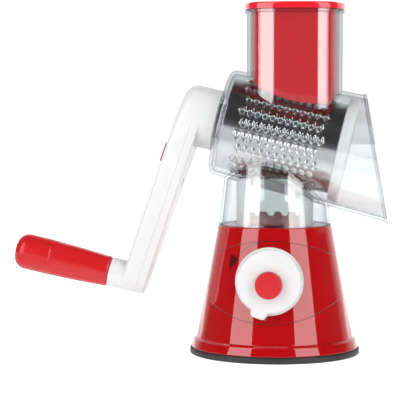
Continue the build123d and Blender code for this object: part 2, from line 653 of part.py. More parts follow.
def make_crank_arm():
    """White outer half of the crank: hub, hollow arm and grip socket."""
    arm = arm_prism(0, 0, ARM_THICKNESS)
    outer_edges = [
        edge for edge in arm.edges()
        if edge.center().Z < arm_face(edge.center().X) - ARM_THICKNESS * 0.9
    ]
    arm = fillet(outer_edges, ARM_ROUNDING)
    arm -= arm_slab(-FAR / 4, ARM_COVER) - rod(CRANK_HUB_RADIUS, -FAR, FAR)
    arm += crank_hub()
    hollow = arm_prism(ARM_WALL, 0, ARM_THICKNESS - ARM_WALL)
    hub_core = rod(CRANK_HUB_RADIUS, -FAR, FAR)
    arm -= hollow - hub_core
    for place in CRANK_SCREW_PLACES:
        post = Pos(place, 0, 0) * rod(SCREW_POST_RADIUS, -FAR / 2, 0)
        arm += post & arm_slab(ARM_COVER, ARM_THICKNESS - ARM_WALL / 2)
        arm -= Pos(place, 0, 0) * rod(SCREW_RADIUS, arm_face(place) - ARM_THICKNESS + 2 * ARM_WALL, 0)
    socket = rod(GRIP_SOCKET_RADIUS, GRIP_START, ARM_INNER_AT_AXIS)
    arm += (Pos(-GRIP_OFFSET, 0, 0) * socket) & arm_slab(ARM_COVER, FAR)
    arm -= Pos(-GRIP_OFFSET, 0, 0) * rod(AXLE_RADIUS, -FAR, 0)
    arm -= Pos(-GRIP_OFFSET, 0, 0) * rod(AXLE_HEAD_RADIUS + SEAT_GAP, AXLE_SEAT, 0)
    arm -= rod(DRUM_BOSS_RADIUS + RUNNING_FIT, BOSS_END - SEAT_GAP, 0)
    return in_drum(arm - latch_channel() - button_slot())


def make_crank_cover():
    """White inner lid of the arm, a tray with a pillar round each screw."""
    hub_core = rod(CRANK_HUB_RADIUS, -FAR, FAR)
    cover = arm_prism(0, 0, ARM_COVER) - arm_prism(ARM_WALL, ARM_WALL, ARM_COVER) - hub_core
    for place in CRANK_SCREW_PLACES:
        pillar = Pos(place, 0, 0) * rod(SCREW_POST_RADIUS, -FAR / 2, 0)
        cover += pillar & arm_slab(ARM_WALL / 2, ARM_COVER)
        cover -= Pos(place, 0, 0) * rod(SCREW_RADIUS, -FAR / 2, 0)
        cover -= Pos(place, 0, 0) * rod(SCREW_HEAD_RADIUS + SEAT_GAP, crank_screw_seat(place), 0)
    return in_drum(cover)


def crank_screw_seat(place):
    """Where a crank screw's head rests in the cover."""
    return arm_face(place) - SCREW_HEAD_HEIGHT - SEAT_GAP


def make_crank_screws():
    """Screws through the cover into the arm."""
    screws = []
    for place in CRANK_SCREW_PLACES:
        seat = crank_screw_seat(place)
        length = seat - arm_face(place) + ARM_THICKNESS - 3 * ARM_WALL
        screws.append(in_drum(Pos(place, 0, seat) * Rot(180, 0, 0) * screw(length)))
    return Compound(children=screws)


# --- Release button ----------------------------------------------------------------------------------------------------------

def button_neck():
    """Limits along the arm of the neck that passes through the arm's outer wall."""
    middle = BUTTON_TOP - BUTTON_LENGTH / 2
    return middle - LATCH_WIDTH / 2, middle + LATCH_WIDTH / 2


def latch_section(x_range, gap=0.0):
    """Bar with the latch's section between two places along the arm, grown by a gap."""
    half_width = LATCH_WIDTH / 2 + gap
    half_thick = LATCH_THICKNESS / 2 + gap
    return block(x_range, (-half_width, half_width), (LATCH_AT - half_thick, LATCH_AT + half_thick))


def latch_channel():
    """Way for the latch bar through the wall of the crank's hub."""
    return latch_section((-CRANK_HUB_RADIUS - 1, 0), SLIDING_GAP)


def button_slot():
    """Slot in the outer wall with room for the button's travel."""
    low, high = button_neck()
    half = LATCH_WIDTH / 2 + SLIDING_GAP
    return block(
        (low - LATCH_TRAVEL - SLIDING_GAP, high + SLIDING_GAP), (-half, half), (-FAR, LATCH_AT)
    )


def make_release_slider():
    """Red button, its neck and the latch bar that holds the drum's boss."""
    low, high = button_neck()
    bar = latch_section((low - SPRING_SEAT, -DRUM_BOSS_RADIUS + LATCH_BITE))
    neck = block((low, high), (-LATCH_WIDTH / 2, LATCH_WIDTH / 2), (-FAR / 4, LATCH_AT))
    neck &= arm_slab(0, ARM_THICKNESS + BUTTON_GAP + BUTTON_RISE / 2)
    limits = (BUTTON_TOP - BUTTON_LENGTH, BUTTON_TOP)
    button = block(limits, (-BUTTON_WIDTH / 2, BUTTON_WIDTH / 2), (-FAR / 4, 0))
    button = fillet(button.edges().filter_by(Axis.Z), BUTTON_WIDTH / 5)
    button &= arm_slab(ARM_THICKNESS + BUTTON_GAP, ARM_THICKNESS + BUTTON_GAP + BUTTON_RISE)
    return in_drum(bar + neck + button)


def make_latch_spring():
    """Spring that pushes the latch bar back into the boss."""
    tube = rod(SPRING_RADIUS, 0, SPRING_LENGTH) - rod(SPRING_RADIUS - SPRING_WIRE, -1, FAR)
    return in_drum(Pos(button_neck()[0] - SPRING_SEAT, 0, LATCH_AT) * Rot(0, -90, 0) * tube)


# --- Grip ----------------------------------------------------------------------------------------------------------------------

def on_grip(shape):
    """Move a shape from the grip's own axis to the part's frame."""
    return in_drum(Pos(-GRIP_OFFSET, 0, 0) * shape)


def make_grip_axle():
    """Steel axle fixed in the arm, with its head under the cover."""
    end = SLEEVE_END - SLIDING_GAP - WASHER_THICKNESS
    axle = rod(AXLE_RADIUS, AXLE_SEAT, end - AXLE_HEAD_THICKNESS / 2)
    axle += rod(AXLE_HEAD_RADIUS, AXLE_SEAT, AXLE_SEAT + AXLE_HEAD_THICKNESS)
    return on_grip(axle)


def make_grip_washer():
    """Washer riveted on the axle's end, which keeps the grip on."""
    start = SLEEVE_END - SLIDING_GAP
    washer = rod(AXLE_HEAD_RADIUS, start - WASHER_THICKNESS, start)
    return on_grip(washer - rod(AXLE_RADIUS, -FAR, FAR))


def make_grip_sleeve():
    """Red grip, which turns on the axle, with shallow panels along it."""
    start = GRIP_START - SLIDING_GAP
    length = start - SLEEVE_END
    sleeve = turned([
        (AXLE_RADIUS + RUNNING_FIT, SLEEVE_END),
        (GRIP_FULL_RADIUS, SLEEVE_END),
        (GRIP_NECK_RADIUS, start),
        (AXLE_RADIUS + RUNNING_FIT, start),
    ], [(2, GRIP_EDGE)])
    taper = degrees(atan((GRIP_FULL_RADIUS - GRIP_NECK_RADIUS) / length))
    depth = GRIP_NECK_RADIUS - GRIP_PANEL_DEPTH
    flat = Pos(depth, 0, start) * Rot(0, -taper, 0) * block((0, FAR), (-FAR, FAR), (-FAR, FAR))
    flat &= block((-FAR, FAR), (-FAR, FAR), (SLEEVE_END + PANEL_END, start - PANEL_END))
    for number in range(GRIP_PANELS):
        sleeve -= Rot(0, 0, 360 / GRIP_PANELS * number) * flat
    return on_grip(sleeve)


def make_grip_cap():
    """Red rounded end of the grip, pressed on the sleeve over the washer."""
    room = AXLE_HEAD_RADIUS + 2 * SLIDING_GAP
    depth = 2 * SLIDING_GAP + WASHER_THICKNESS + AXLE_HEAD_THICKNESS
    end = SLEEVE_END - GRIP_CAP_LENGTH
    cap = turned([
        (0, end),
        (GRIP_FULL_RADIUS, end),
        (GRIP_FULL_RADIUS, SLEEVE_END),
        (room, SLEEVE_END),
        (room, SLEEVE_END - depth),
        (0, SLEEVE_END - depth),
    ], [(1, GRIP_CAP_ROUNDING), (2, GRIP_SEAM)])
    return on_grip(cap)


NODES = {
    "base_shell": make_base_shell,
    "base_plate": make_base_plate,
    "base_screws": make_base_screws,
    "suction_cup": make_suction_cup,
    "lift_stem": make_lift_stem,
    "cam_shaft": make_cam_shaft,
    "knob": make_knob,
    "knob_cap": make_knob_cap,
    "knob_screw": make_knob_screw,
    "locking_turret": make_turret,
    "clear_body": make_clear_body,
    "pusher": make_pusher,
    "grater_drum": make_grater_drum,
    "drum_hub": make_drum_hub,
    "drum_end_ring": make_end_ring,
    "crank_arm": make_crank_arm,
    "crank_cover": make_crank_cover,
    "crank_screws": make_crank_screws,
    "release_slider": make_release_slider,
    "latch_spring": make_latch_spring,
    "grip_axle": make_grip_axle,
    "grip_washer": make_grip_washer,
    "grip_sleeve": make_grip_sleeve,
    "grip_end_cap": make_grip_cap,
}

for name, make in NODES.items():
    export_step(make(), f"parts/{name}.step")
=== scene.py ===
"""Looks of a hand-cranked rotary cabbage shredder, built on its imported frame.

Sizes in the classes below are millimetres and degrees unless they say otherwise; a mesh
becomes metres when its piece is made.  World axes are the part's own: +Z up, +X towards the
mouth, -Y the side with the knob.  The drum frame has its Z along the drum's axis towards the
mouth and its X square to that, pointing up.
"""

import logging
from collections.abc import Callable
from dataclasses import dataclass
from enum import Enum
from functools import lru_cache
from math import asin, cos, degrees, hypot, pi, radians, sin, sqrt, tan
from typing import Generic, TypeVar

import bmesh
import bpy
from mathutils import Matrix, Vector


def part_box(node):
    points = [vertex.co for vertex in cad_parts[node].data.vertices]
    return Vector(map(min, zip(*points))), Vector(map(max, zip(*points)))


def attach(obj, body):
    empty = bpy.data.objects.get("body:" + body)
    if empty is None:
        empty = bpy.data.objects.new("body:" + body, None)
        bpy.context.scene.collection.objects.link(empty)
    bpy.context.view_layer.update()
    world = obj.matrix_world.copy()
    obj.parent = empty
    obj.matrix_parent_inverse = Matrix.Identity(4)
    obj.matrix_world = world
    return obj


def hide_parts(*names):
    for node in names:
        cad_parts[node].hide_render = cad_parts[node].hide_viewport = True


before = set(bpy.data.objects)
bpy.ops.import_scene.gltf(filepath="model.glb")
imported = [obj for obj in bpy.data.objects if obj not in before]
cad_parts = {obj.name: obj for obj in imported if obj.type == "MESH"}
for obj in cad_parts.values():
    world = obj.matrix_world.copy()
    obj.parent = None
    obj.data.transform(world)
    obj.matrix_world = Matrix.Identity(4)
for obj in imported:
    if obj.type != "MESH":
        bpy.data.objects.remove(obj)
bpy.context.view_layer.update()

LOG = logging.getLogger("shredder")
MM = 0.001

Point = tuple[float, float]
Loop = list[tuple[float, float, float]]


# --- Frames of reference ------------------------------------------------------------------


@dataclass(frozen=True)
class Layout:
    """Where the main axes lie."""

    axis_height: float = 168.2
    axis_tilt: float = 13.0
    knob_height: float = 59.0
    knob_seat: float = -57.2
    base_top: float = 99.0
    rubber_top: float = 5.0
    chute_x: float = 15.0
    chute_top: float = 263.0
    grip_offset: float = 133.5

    def drum(self) -> Matrix:
        """Drum frame as a matrix, in millimetres."""
        tilt = radians(self.axis_tilt)
        columns = (
            (sin(tilt), 0.0, cos(tilt), 0.0),
            (0.0, -1.0, 0.0, 0.0),
            (cos(tilt), 0.0, -sin(tilt), 0.0),
            (0.0, 0.0, self.axis_height, 1.0),
        )
        return Matrix(columns).transposed()

    def grip(self) -> Matrix:
        """Grip frame: the drum frame moved out along the crank."""
        return self.drum() @ Matrix.Translation((-self.grip_offset, 0, 0))

    def knob(self) -> Matrix:
        """Knob frame: Z points out of the front, Y up."""
        columns = (
            (1.0, 0.0, 0.0, 0.0),
            (0.0, 0.0, 1.0, 0.0),
            (0.0, -1.0, 0.0, 0.0),
            (0.0, self.knob_seat, self.knob_height, 1.0),
        )
        return Matrix(columns).transposed()


LAYOUT = Layout()
DRUM = LAYOUT.drum()
GRIP = LAYOUT.grip()
KNOB = LAYOUT.knob()
WORLD = Matrix.Identity(4)


# --- Outlines -----------------------------------------------------------------------------


def rounded(corners: list[tuple[float, float, float]], steps: int = 7) -> list[Point]:
    """Open outline with its corners rounded.

    Args:
        corners: (x, y, radius) of each corner; a radius of 0 keeps it sharp.
        steps: points on each rounding, less one.

    Returns:
        The points of the outline, in order.
    """
    points: list[Point] = []
    for index, (x, y, radius) in enumerate(corners):
        if radius <= 0 or index in (0, len(corners) - 1):
            points.append((x, y))
            continue
        here = Vector((x, y))
        before = (Vector(corners[index - 1][:2]) - here).normalized()
        after = (Vector(corners[index + 1][:2]) - here).normalized()
        half = before.angle(after) / 2
        reach = radius / tan(half)
        centre = here + (before + after).normalized() * (radius / sin(half))
        first = here + before * reach - centre
        last = here + after * reach - centre
        sweep = first.angle_signed(last)
        for step in range(steps + 1):
            turned = first.copy()
            turned.rotate(Matrix.Rotation(-sweep * step / steps, 2))
            points.append(tuple(centre + turned))
    return points


def rounded_rectangle(length: float, width: float, corner: float, steps: int = 6) -> list[Point]:
    """Closed outline of a rectangle with round corners, anticlockwise from the +X side."""
    points: list[Point] = []
    for quarter, (sx, sy) in enumerate(((1, 1), (-1, 1), (-1, -1), (1, -1))):
        cx = sx * (length / 2 - corner)
        cy = sy * (width / 2 - corner)
        for step in range(steps + 1):
            angle = pi / 2 * (quarter + step / steps)
            points.append((cx + corner * cos(angle), cy + corner * sin(angle)))
    return points


def crowned_rectangle(
    length: float, width: float, corner: float, crown: float, points: int = 19
) -> list[Point]:
    """Closed outline of a rectangle whose sides bulge gently into its round corners.

    Args:
        length: size along X.
        width: size along Y.
        corner: radius of the corners.
        crown: how far each side has turned, in degrees, where its corner begins.
        points: points in each quarter.

    Returns:
        The outline, anticlockwise from the middle of the +X side.
    """
    turn = radians(crown)
    rise, run = sin(turn), 1 - cos(turn)
    spare_x = length / 2 - corner * (cos(turn) - rise)
    spare_y = width / 2 - corner * (cos(turn) - rise)
    scale = rise * rise - run * run
    side = (spare_y * rise - spare_x * run) / scale
    front = (spare_x * rise - spare_y * run) / scale
    quarter: list[Point] = []
    for index in range(points):
        angle = pi / 2 * index / points
        if angle < turn:
            quarter.append((length / 2 - side * (1 - cos(angle)), side * sin(angle)))
        elif angle < pi / 2 - turn:
            x = front * rise + corner * (cos(angle) - rise)
            quarter.append((x, side * rise + corner * (sin(angle) - rise)))
        else:
            quarter.append((front * cos(angle), width / 2 - front * (1 - sin(angle))))
    left = [(0.0, width / 2)] + [(-x, y) for x, y in reversed(quarter[1:])]
    upper = quarter + left
    return upper + [(-x, -y) for x, y in upper]


def polar(radius: float, angle: float) -> Point:
    """Point at a distance and an angle from the origin."""
    return (radius * cos(angle), radius * sin(angle))


def along_line(start: Point, end: Point, parts: int) -> list[Point]:
    """Points at equal steps from a start, left out, to an end, included."""
    return [(start[0] + (end[0] - start[0]) * k / parts, start[1] + (end[1] - start[1]) * k / parts)
            for k in range(1, parts + 1)]


def smooth(low: float, high: float, value: float) -> float:
    """Smooth step from 0 at low to 1 at high."""
    share = min(1.0, max(0.0, (value - low) / (high - low)))
    return share * share * (3 - 2 * share)


# --- Meshes -------------------------------------------------------------------------------


def lathe(outline: list[Point], segments: int = 128, closed: bool = False) -> bmesh.types.BMesh:
    """Mesh turned about Z from an outline of (radius, height) points.

    Args:
        outline: points from one end to the other; ends on the axis close the solid.
        segments: faces round the axis.
        closed: joins the last point to the first, for a ring.
    """
    mesh = bmesh.new()
    verts = [mesh.verts.new((radius, 0.0, height)) for radius, height in outline]
    pairs = list(zip(verts, verts[1:]))
    if closed:
        pairs.append((verts[-1], verts[0]))
    edges = [mesh.edges.new(pair) for pair in pairs]
    bmesh.ops.spin(
        mesh, geom=verts + edges, cent=(0, 0, 0), axis=(0, 0, 1), angle=2 * pi,
        steps=segments, use_merge=True,
    )
    bmesh.ops.remove_doubles(mesh, verts=mesh.verts, dist=1e-5)
    bmesh.ops.recalc_face_normals(mesh, faces=mesh.faces)
    return mesh


def cylinder(
    radius: float, start: float, end: float, rounding: float = 0.0, segments: int = 128
) -> bmesh.types.BMesh:
    """Solid cylinder along Z, with a rounding at its end."""
    corners = [(0, start, 0), (radius, start, 0), (radius, end, rounding), (0, end, 0)]
    return lathe(rounded(corners), segments)


def skin(loops: list[Loop]) -> bmesh.types.BMesh:
    """Closed mesh over a stack of loops with equal numbers of points."""
    mesh = bmesh.new()
    rings = [[mesh.verts.new(point) for point in loop] for loop in loops]
    for lower, upper in zip(rings, rings[1:]):
        count = len(lower)
        for index in range(count):
            following = (index + 1) % count
            mesh.faces.new((lower[index], lower[following], upper[following], upper[index]))
    mesh.faces.new(list(reversed(rings[0])))
    mesh.faces.new(rings[-1])
    bmesh.ops.recalc_face_normals(mesh, faces=mesh.faces)
    return mesh


def slice_off(mesh: bmesh.types.BMesh, point: Vector, normal: Vector) -> None:
    """Cuts away what lies beyond a plane and closes the cut."""
    geometry = list(mesh.verts) + list(mesh.edges) + list(mesh.faces)
    cut = bmesh.ops.bisect_plane(
        mesh, geom=geometry, plane_co=point, plane_no=normal, clear_outer=True
    )
    edges = [item for item in cut["geom_cut"] if isinstance(item, bmesh.types.BMEdge)]
    bmesh.ops.edgeloop_fill(mesh, edges=edges)
    bmesh.ops.recalc_face_normals(mesh, faces=mesh.faces)


def to_object(mesh: bmesh.types.BMesh, name: str, place: Matrix) -> bpy.types.Object:
    """Turns a bmesh in millimetres into an object at the origin, in metres."""
    mesh.transform(Matrix.Scale(MM, 4) @ place)
    bmesh.ops.recalc_face_normals(mesh, faces=mesh.faces)
    data = bpy.data.meshes.new(name)
    mesh.to_mesh(data)
    mesh.free()
    obj = bpy.data.objects.new(name, data)
    bpy.context.scene.collection.objects.link(obj)
    return obj


def shade(obj: bpy.types.Object, crease: float) -> None:
    """Smooth shading, with edges sharper than the crease angle kept hard."""
    for polygon in obj.data.polygons:
        polygon.use_smooth = True
    obj.data.set_sharp_from_angle(angle=radians(crease))


def combine(base: bpy.types.Object, form: bmesh.types.BMesh, place: Matrix, operation: str = "UNION") -> None:
    """Applies one exact boolean of a form at a place to base."""
    other = to_object(form, "form", place)
    modifier = base.modifiers.new("combine", "BOOLEAN")
    modifier.operation = operation
    modifier.solver = "EXACT"
    modifier.object = other
    graph = bpy.context.evaluated_depsgraph_get()
    result = bpy.data.meshes.new_from_object(base.evaluated_get(graph))
    base.modifiers.clear()
    base.data = result
    bpy.data.objects.remove(other)


@dataclass(frozen=True)
class Piece:
    """What a finished piece is called, rides on and stands for."""

    name: str
    body: str
    slot: str
    nodes: tuple[str, ...] = ()
    crease: float = 32.0


def finish_piece(obj: bpy.types.Object, piece: Piece, material: bpy.types.Material) -> None:
    """Shades a piece, gives it its material and joins it to the frame."""
    obj.name = piece.name
    obj.data.materials.clear()
    obj.data.materials.append(material)
    shade(obj, piece.crease)
    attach(obj, piece.body)
    if piece.nodes:
        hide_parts(*piece.nodes)
    LOG.info("%s: %d faces", piece.name, len(obj.data.polygons))


# --- Materials ----------------------------------------------------------------------------

Socket = bpy.types.NodeSocket
Span = tuple[float, float]
Colour = tuple[float, float, float, float]
Source = Socket | float | Colour

UNIT = (0.0, 1.0)
WHITE = (1.0, 1.0, 1.0, 1.0)


def linear(colour: str) -> Colour:
    """Opaque linear colour from an sRGB hex code such as "c21a20"."""
    parts = [int(colour[index:index + 2], 16) / 255 for index in (0, 2, 4)]
    values = [part / 12.92 if part <= 0.04045 else ((part + 0.055) / 1.055) ** 2.4 for part in parts]
    return (values[0], values[1], values[2], 1.0)


class Graph:
    """Shader nodes of a material or a world, with short calls for the usual ones."""

    NOISE_SPAN = (0.25, 0.75)
    NOISE_ROUGHNESS = 0.55

    def __init__(self, owner: bpy.types.Material | bpy.types.World) -> None:
        owner.use_nodes = True
        self._tree = owner.node_tree
        self._tree.nodes.clear()
        self.coordinates = self.add("TexCoord").outputs

    def add(self, kind: str, inputs: dict[str | int, Source] | None = None, **properties) -> bpy.types.Node:
        """Adds a node.

        Args:
            kind: Blender's node type without its leading "ShaderNode".
            inputs: number, colour or output socket for each input, by name or number.
            properties: the node's own settings.
        """
        node = self._tree.nodes.new("ShaderNode" + kind)
        for name, value in properties.items():
            setattr(node, name, value)
        self.feed(node, inputs or {})
        return node

    def feed(self, node: bpy.types.Node, inputs: dict[str | int, Source]) -> None:
        """Sets or links the inputs of a node."""
        for key, value in inputs.items():
            if isinstance(value, Socket):
                self._tree.links.new(value, node.inputs[key])
            else:
                node.inputs[key].default_value = value

    def axes(self, source: str = "Object") -> bpy.types.bpy_prop_collection:
        """X, Y and Z of one kind of coordinates."""
        return self.add("SeparateXYZ", {"Vector": self.coordinates[source]}).outputs

    def ray(self, name: str) -> Socket:
        """One value of the light path node."""
        return self.add("LightPath").outputs[name]

    def math(self, operation: str, *values: Source) -> Socket:
        """Result of a math node on sockets and numbers."""
        return self.add("Math", dict(enumerate(values)), operation=operation).outputs[0]

    def product(self, first: Source, *others: Source) -> Source:
        """All of the values multiplied."""
        for other in others:
            first = self.math("MULTIPLY", first, other)
        return first

    def inverse(self, share: Source) -> Socket:
        """1 less a share."""
        return self.math("SUBTRACT", 1.0, share)

    def apart(self, first: Source, second: Source) -> Socket:
        """How far two values lie apart."""
        return self.math("ABSOLUTE", self.math("SUBTRACT", first, second))

    def reach(self, first: Socket, second: Socket) -> Socket:
        """Distance from the origin in the plane of two axes."""
        squares = self.math("ADD", self.product(first, first), self.product(second, second))
        return self.math("SQRT", squares)

    def map_range(self, value: Source, start: Span, end: Span = UNIT, soft: bool = False) -> Socket:
        """Maps one span to another, clamped; a soft passage is S-shaped."""
        names = ("Value", "From Min", "From Max", "To Min", "To Max")
        inputs = dict(zip(names, (value, *start, *end)))
        style = "SMOOTHSTEP" if soft else "LINEAR"
        return self.add("MapRange", inputs, interpolation_type=style).outputs["Result"]

    def noise(self, size: float, detail: float = 3.0) -> Socket:
        """Noise whose features are about one size, in millimetres."""
        inputs = {"Vector": self.coordinates["Object"], "Scale": 1 / (size * MM), "Detail": detail,
                  "Roughness": self.NOISE_ROUGHNESS}
        return self.add("TexNoise", inputs).outputs["Fac"]

    def uneven(self, size: float, span: Span, detail: float = 3.0) -> Socket:
        """A value that wanders within a span."""
        return self.map_range(self.noise(size, detail), self.NOISE_SPAN, span)

    def mix(self, share: Source, first: Source, second: Source) -> Socket:
        """Number between two others, the second at a share of 1."""
        return self.add("Mix", {0: share, 2: first, 3: second}).outputs[0]

    def blend(self, share: Source, first: Source, second: Source) -> Socket:
        """Colour between two others, the second at a share of 1."""
        return self.add("Mix", {0: share, 6: first, 7: second}, data_type="RGBA").outputs[2]

    def mix_shader(self, share: Source, first: Socket, second: Socket) -> Socket:
        """Surface between two others, the second at a share of 1."""
        return self.add("MixShader", {0: share, 1: first, 2: second}).outputs[0]

    def bump(self, height: Source, depth: float, **inputs: Source) -> Socket:
        """Normal that follows a height of 0 to 1, for a relief of a depth in millimetres."""
        values = {"Strength": 1.0, "Distance": depth * MM, "Height": height} | inputs
        return self.add("Bump", values).outputs[0]


@dataclass(frozen=True)
class Moulded:
    """Injection-moulded plastic."""

    name: str
    colour: str
    shade: str
    roughness: float = 0.2
    grain: float = 2.5
    bump: float = 0.02
    coat: float = 0.0
    specular: float = 0.5


class Finish(Enum):
    """Plastic finishes of the object."""

    RED_GLOSS = Moulded("abs_red_polished_mould", "aa060c", "a2060b", 0.05, 9.0, 0.004, 0.8)
    RED_PUSHER = Moulded("polypropylene_red_polished", "db1f2d", "d31a27", 0.06, 8.0, 0.004, 0.8)
    RED_GRIP = Moulded("polypropylene_red_satin", "c4161c", "b91117", 0.24, 0.9, 0.03)
    RED_SMALL = Moulded("polypropylene_red_cap", "c42227", "bc1e23", 0.3, 1.2, 0.02, 0.0, 0.35)
    WHITE = Moulded("abs_white_moulded", "d7d7d7", "d3d3d3", 0.25, 6.0, 0.01)
    RING = Moulded("polypropylene_natural_white", "f2f2f2", "eeeeee", 0.4, 3.0, 0.01)
    GREY = Moulded("acetal_grey_natural", "b9bbbd", "aeb0b3", 0.45, 2.0, 0.02)


@dataclass(frozen=True)
class ClearLook:
    """How the walls of the clear moulding look, faced and along their surface."""

    wave_size: float = 14.0
    wave_depth: float = 0.01
    rim_power: float = 4.0
    face_tint: str = "f8fafa"
    rim_tint: str = "a6abae"
    edge_tint: str = "c4bfc6"
    edge_reach: float = 1.5
    edge_span: Span = (0.99, 0.9)
    face_mirror: float = 0.11
    rim_mirror: float = 0.15
    roughness: float = 0.02
    milk: str = "f4f4f5"
    milk_facing: Span = (0.24, 0.36)
    milk_share: float = 0.9
    tube_radius: float = 30.0
    tube_top: float = 135.0


class Palette:
    """Makes each material once."""

    def __init__(self) -> None:
        self._made: dict[str, bpy.types.Material] = {}

    def _make(self, name: str, surface: Callable[[Graph], Socket]) -> bpy.types.Material:
        """Material of a name, with the surface that a function draws."""
        if name not in self._made:
            material = bpy.data.materials.new(name)
            graph = Graph(material)
            graph.add("OutputMaterial", {"Surface": surface(graph)})
            self._made[name] = material
        return self._made[name]

    def plastic(self, finish: Finish) -> bpy.types.Material:
        """Material of one moulded plastic."""
        spec = finish.value
        return self._make(spec.name, lambda graph: self._moulded(graph, spec).outputs[0])

    @staticmethod
    def _moulded(graph: Graph, spec: Moulded) -> bpy.types.Node:
        """Plastic with faint flow mottling, uneven gloss and a fine mould texture."""
        return graph.add("BsdfPrincipled", {
            "Base Color": graph.blend(graph.noise(spec.grain * 4), linear(spec.colour), linear(spec.shade)),
            "Roughness": graph.uneven(spec.grain * 7, (spec.roughness * 0.92, spec.roughness * 1.08), 5.0),
            "Normal": graph.bump(graph.noise(spec.grain), spec.bump),
            "Coat Weight": spec.coat, "Coat Roughness": 0.03, "Specular IOR Level": spec.specular,
        })

    def base_red(self, base: "BaseSizes") -> bpy.types.Material:
        """Polished red of the base, with its two engraved lines, their grooves darkened with painted shade,
        and the printed turn arrow.
        """
        spec = Finish.RED_GLOSS.value

        def surface(graph: Graph) -> Socket:
            """Nodes of this material."""
            shader = self._moulded(graph, spec)
            paint, fine = (shader.inputs[name].links[0].from_socket for name in ("Base Color", "Normal"))
            axes = graph.axes()
            lines = self._line_mask(graph, axes, base)
            # the grooves get a darker red as painted shade; the bump below gives their real relief
            groove_shaded = graph.blend(lines, paint, linear(base.groove_shade_colour))
            arrow = self._arrow_mask(graph, axes, base)
            graph.feed(shader, {
                "Base Color": graph.blend(arrow, groove_shaded, linear(base.arrow_colour)),
                "Normal": graph.bump(graph.product(lines, -1.0), base.line_depth, Strength=0.8, Normal=fine),
            })
            return shader.outputs[0]

        return self._make(spec.name + "_engraved", surface)

    @staticmethod
    def _ring_mask(graph: Graph, axes, centre_height: float, radius: float, width: float) -> Socket:
        """1 on a circle drawn in the XZ plane, 0 away from it."""
        height = graph.math("SUBTRACT", axes["Z"], centre_height * MM)
        away = graph.apart(graph.reach(axes["X"], height), radius * MM)
        return graph.map_range(away, (width * 0.3 * MM, width * 0.7 * MM), (1.0, 0.0), soft=True)

    def _line_mask(self, graph: Graph, axes, base: "BaseSizes") -> Socket:
        """1 on the two bowed lines, each on its own side of the knob."""
        upper, lower = (self._ring_mask(graph, axes, centre, base.line_radius, base.line_width)
                        for centre in (base.upper_line_centre, base.lower_line_centre))
        above = graph.math("GREATER_THAN", axes["Z"], LAYOUT.knob_height * MM)
        on_cone = graph.math("GREATER_THAN", axes["Z"], base.step_top * MM)
        upper, lower = graph.product(upper, above), graph.product(lower, graph.inverse(above))
        return graph.product(graph.math("MAXIMUM", upper, lower), on_cone)

    def _arrow_mask(self, graph: Graph, axes, base: "BaseSizes") -> Socket:
        """Plain printed arrow beside the knob that shows which way it turns."""
        height = graph.math("SUBTRACT", axes["Z"], LAYOUT.knob_height * MM)
        angle = graph.math("ARCTAN2", height, axes["X"])
        ring = self._ring_mask(graph, axes, LAYOUT.knob_height, base.arrow_radius, base.arrow_width)
        started = graph.math("GREATER_THAN", angle, radians(base.arrow_start))
        shaft = graph.math("LESS_THAN", angle, radians(base.arrow_end))
        half_width = graph.map_range(
            angle, (radians(base.arrow_end), radians(base.arrow_tip)), (base.arrow_head_width / 2 * MM, 0.0)
        )
        away = graph.apart(graph.reach(axes["X"], height), base.arrow_head_radius * MM)
        soft_low, soft_high = base.arrow_soft
        inside = graph.map_range(
            graph.math("SUBTRACT", half_width, away), (soft_low * MM, soft_high * MM), soft=True
        )
        head = graph.product(inside, graph.inverse(shaft))
        front = graph.math("LESS_THAN", axes["Y"], 0.0)
        return graph.product(front, graph.math("MAXIMUM", graph.product(ring, started, shaft), head))

    def clear(self) -> bpy.types.Material:
        """Clear styrene acrylonitrile; light passes to what is behind it without casting shade."""
        look = ClearLook()

        def surface(graph: Graph) -> Socket:
            """Nodes of this material."""
            wave = graph.bump(graph.noise(look.wave_size, 1.0), look.wave_depth)
            facing = graph.add("LayerWeight", {"Blend": 0.5, "Normal": wave}).outputs["Facing"]
            rim = graph.math("POWER", facing, look.rim_power)
            wall_tint = graph.blend(rim, linear(look.face_tint), linear(look.rim_tint))
            tint = graph.blend(self._edge_mask(graph, look), wall_tint, linear(look.edge_tint))
            through = graph.add("BsdfTransparent", {"Color": tint}).outputs[0]
            polish = {"Color": WHITE, "Roughness": look.roughness, "Normal": wave}
            gloss = graph.add("BsdfGlossy", polish).outputs[0]
            mirror = graph.math("MULTIPLY_ADD", rim, look.rim_mirror, look.face_mirror)
            mirror = graph.product(mirror, graph.inverse(graph.ray("Is Shadow Ray")))
            wall = graph.mix_shader(mirror, through, gloss)
            milk = graph.add("BsdfDiffuse", {"Color": linear(look.milk)}).outputs[0]
            return graph.mix_shader(self._tube_mask(graph, facing, look), wall, milk)

        return self._make("styrene_acrylonitrile_clear", surface)

    @staticmethod
    def _tube_mask(graph: Graph, facing: Socket, look: ClearLook) -> Socket:
        """Where the tube inside the column is seen along its wall and looks milky."""
        axes = graph.axes()
        within = graph.math("LESS_THAN", graph.reach(axes["X"], axes["Y"]), look.tube_radius * MM)
        below = graph.math("LESS_THAN", axes["Z"], look.tube_top * MM)
        flank = graph.map_range(facing, look.milk_facing, (0.0, look.milk_share), soft=True)
        return graph.product(flank, within, below)

    @staticmethod
    def _edge_mask(graph: Graph, look: ClearLook) -> Socket:
        """Near 1 along edges and joins of the moulding, where its thickness is seen."""
        soft = graph.add("Bevel", {"Radius": look.edge_reach * MM}, samples=6).outputs[0]
        flat = graph.add("NewGeometry").outputs["Normal"]
        agreement = graph.add("VectorMath", {0: soft, 1: flat}, operation="DOT_PRODUCT").outputs["Value"]
        return graph.map_range(agreement, look.edge_span)

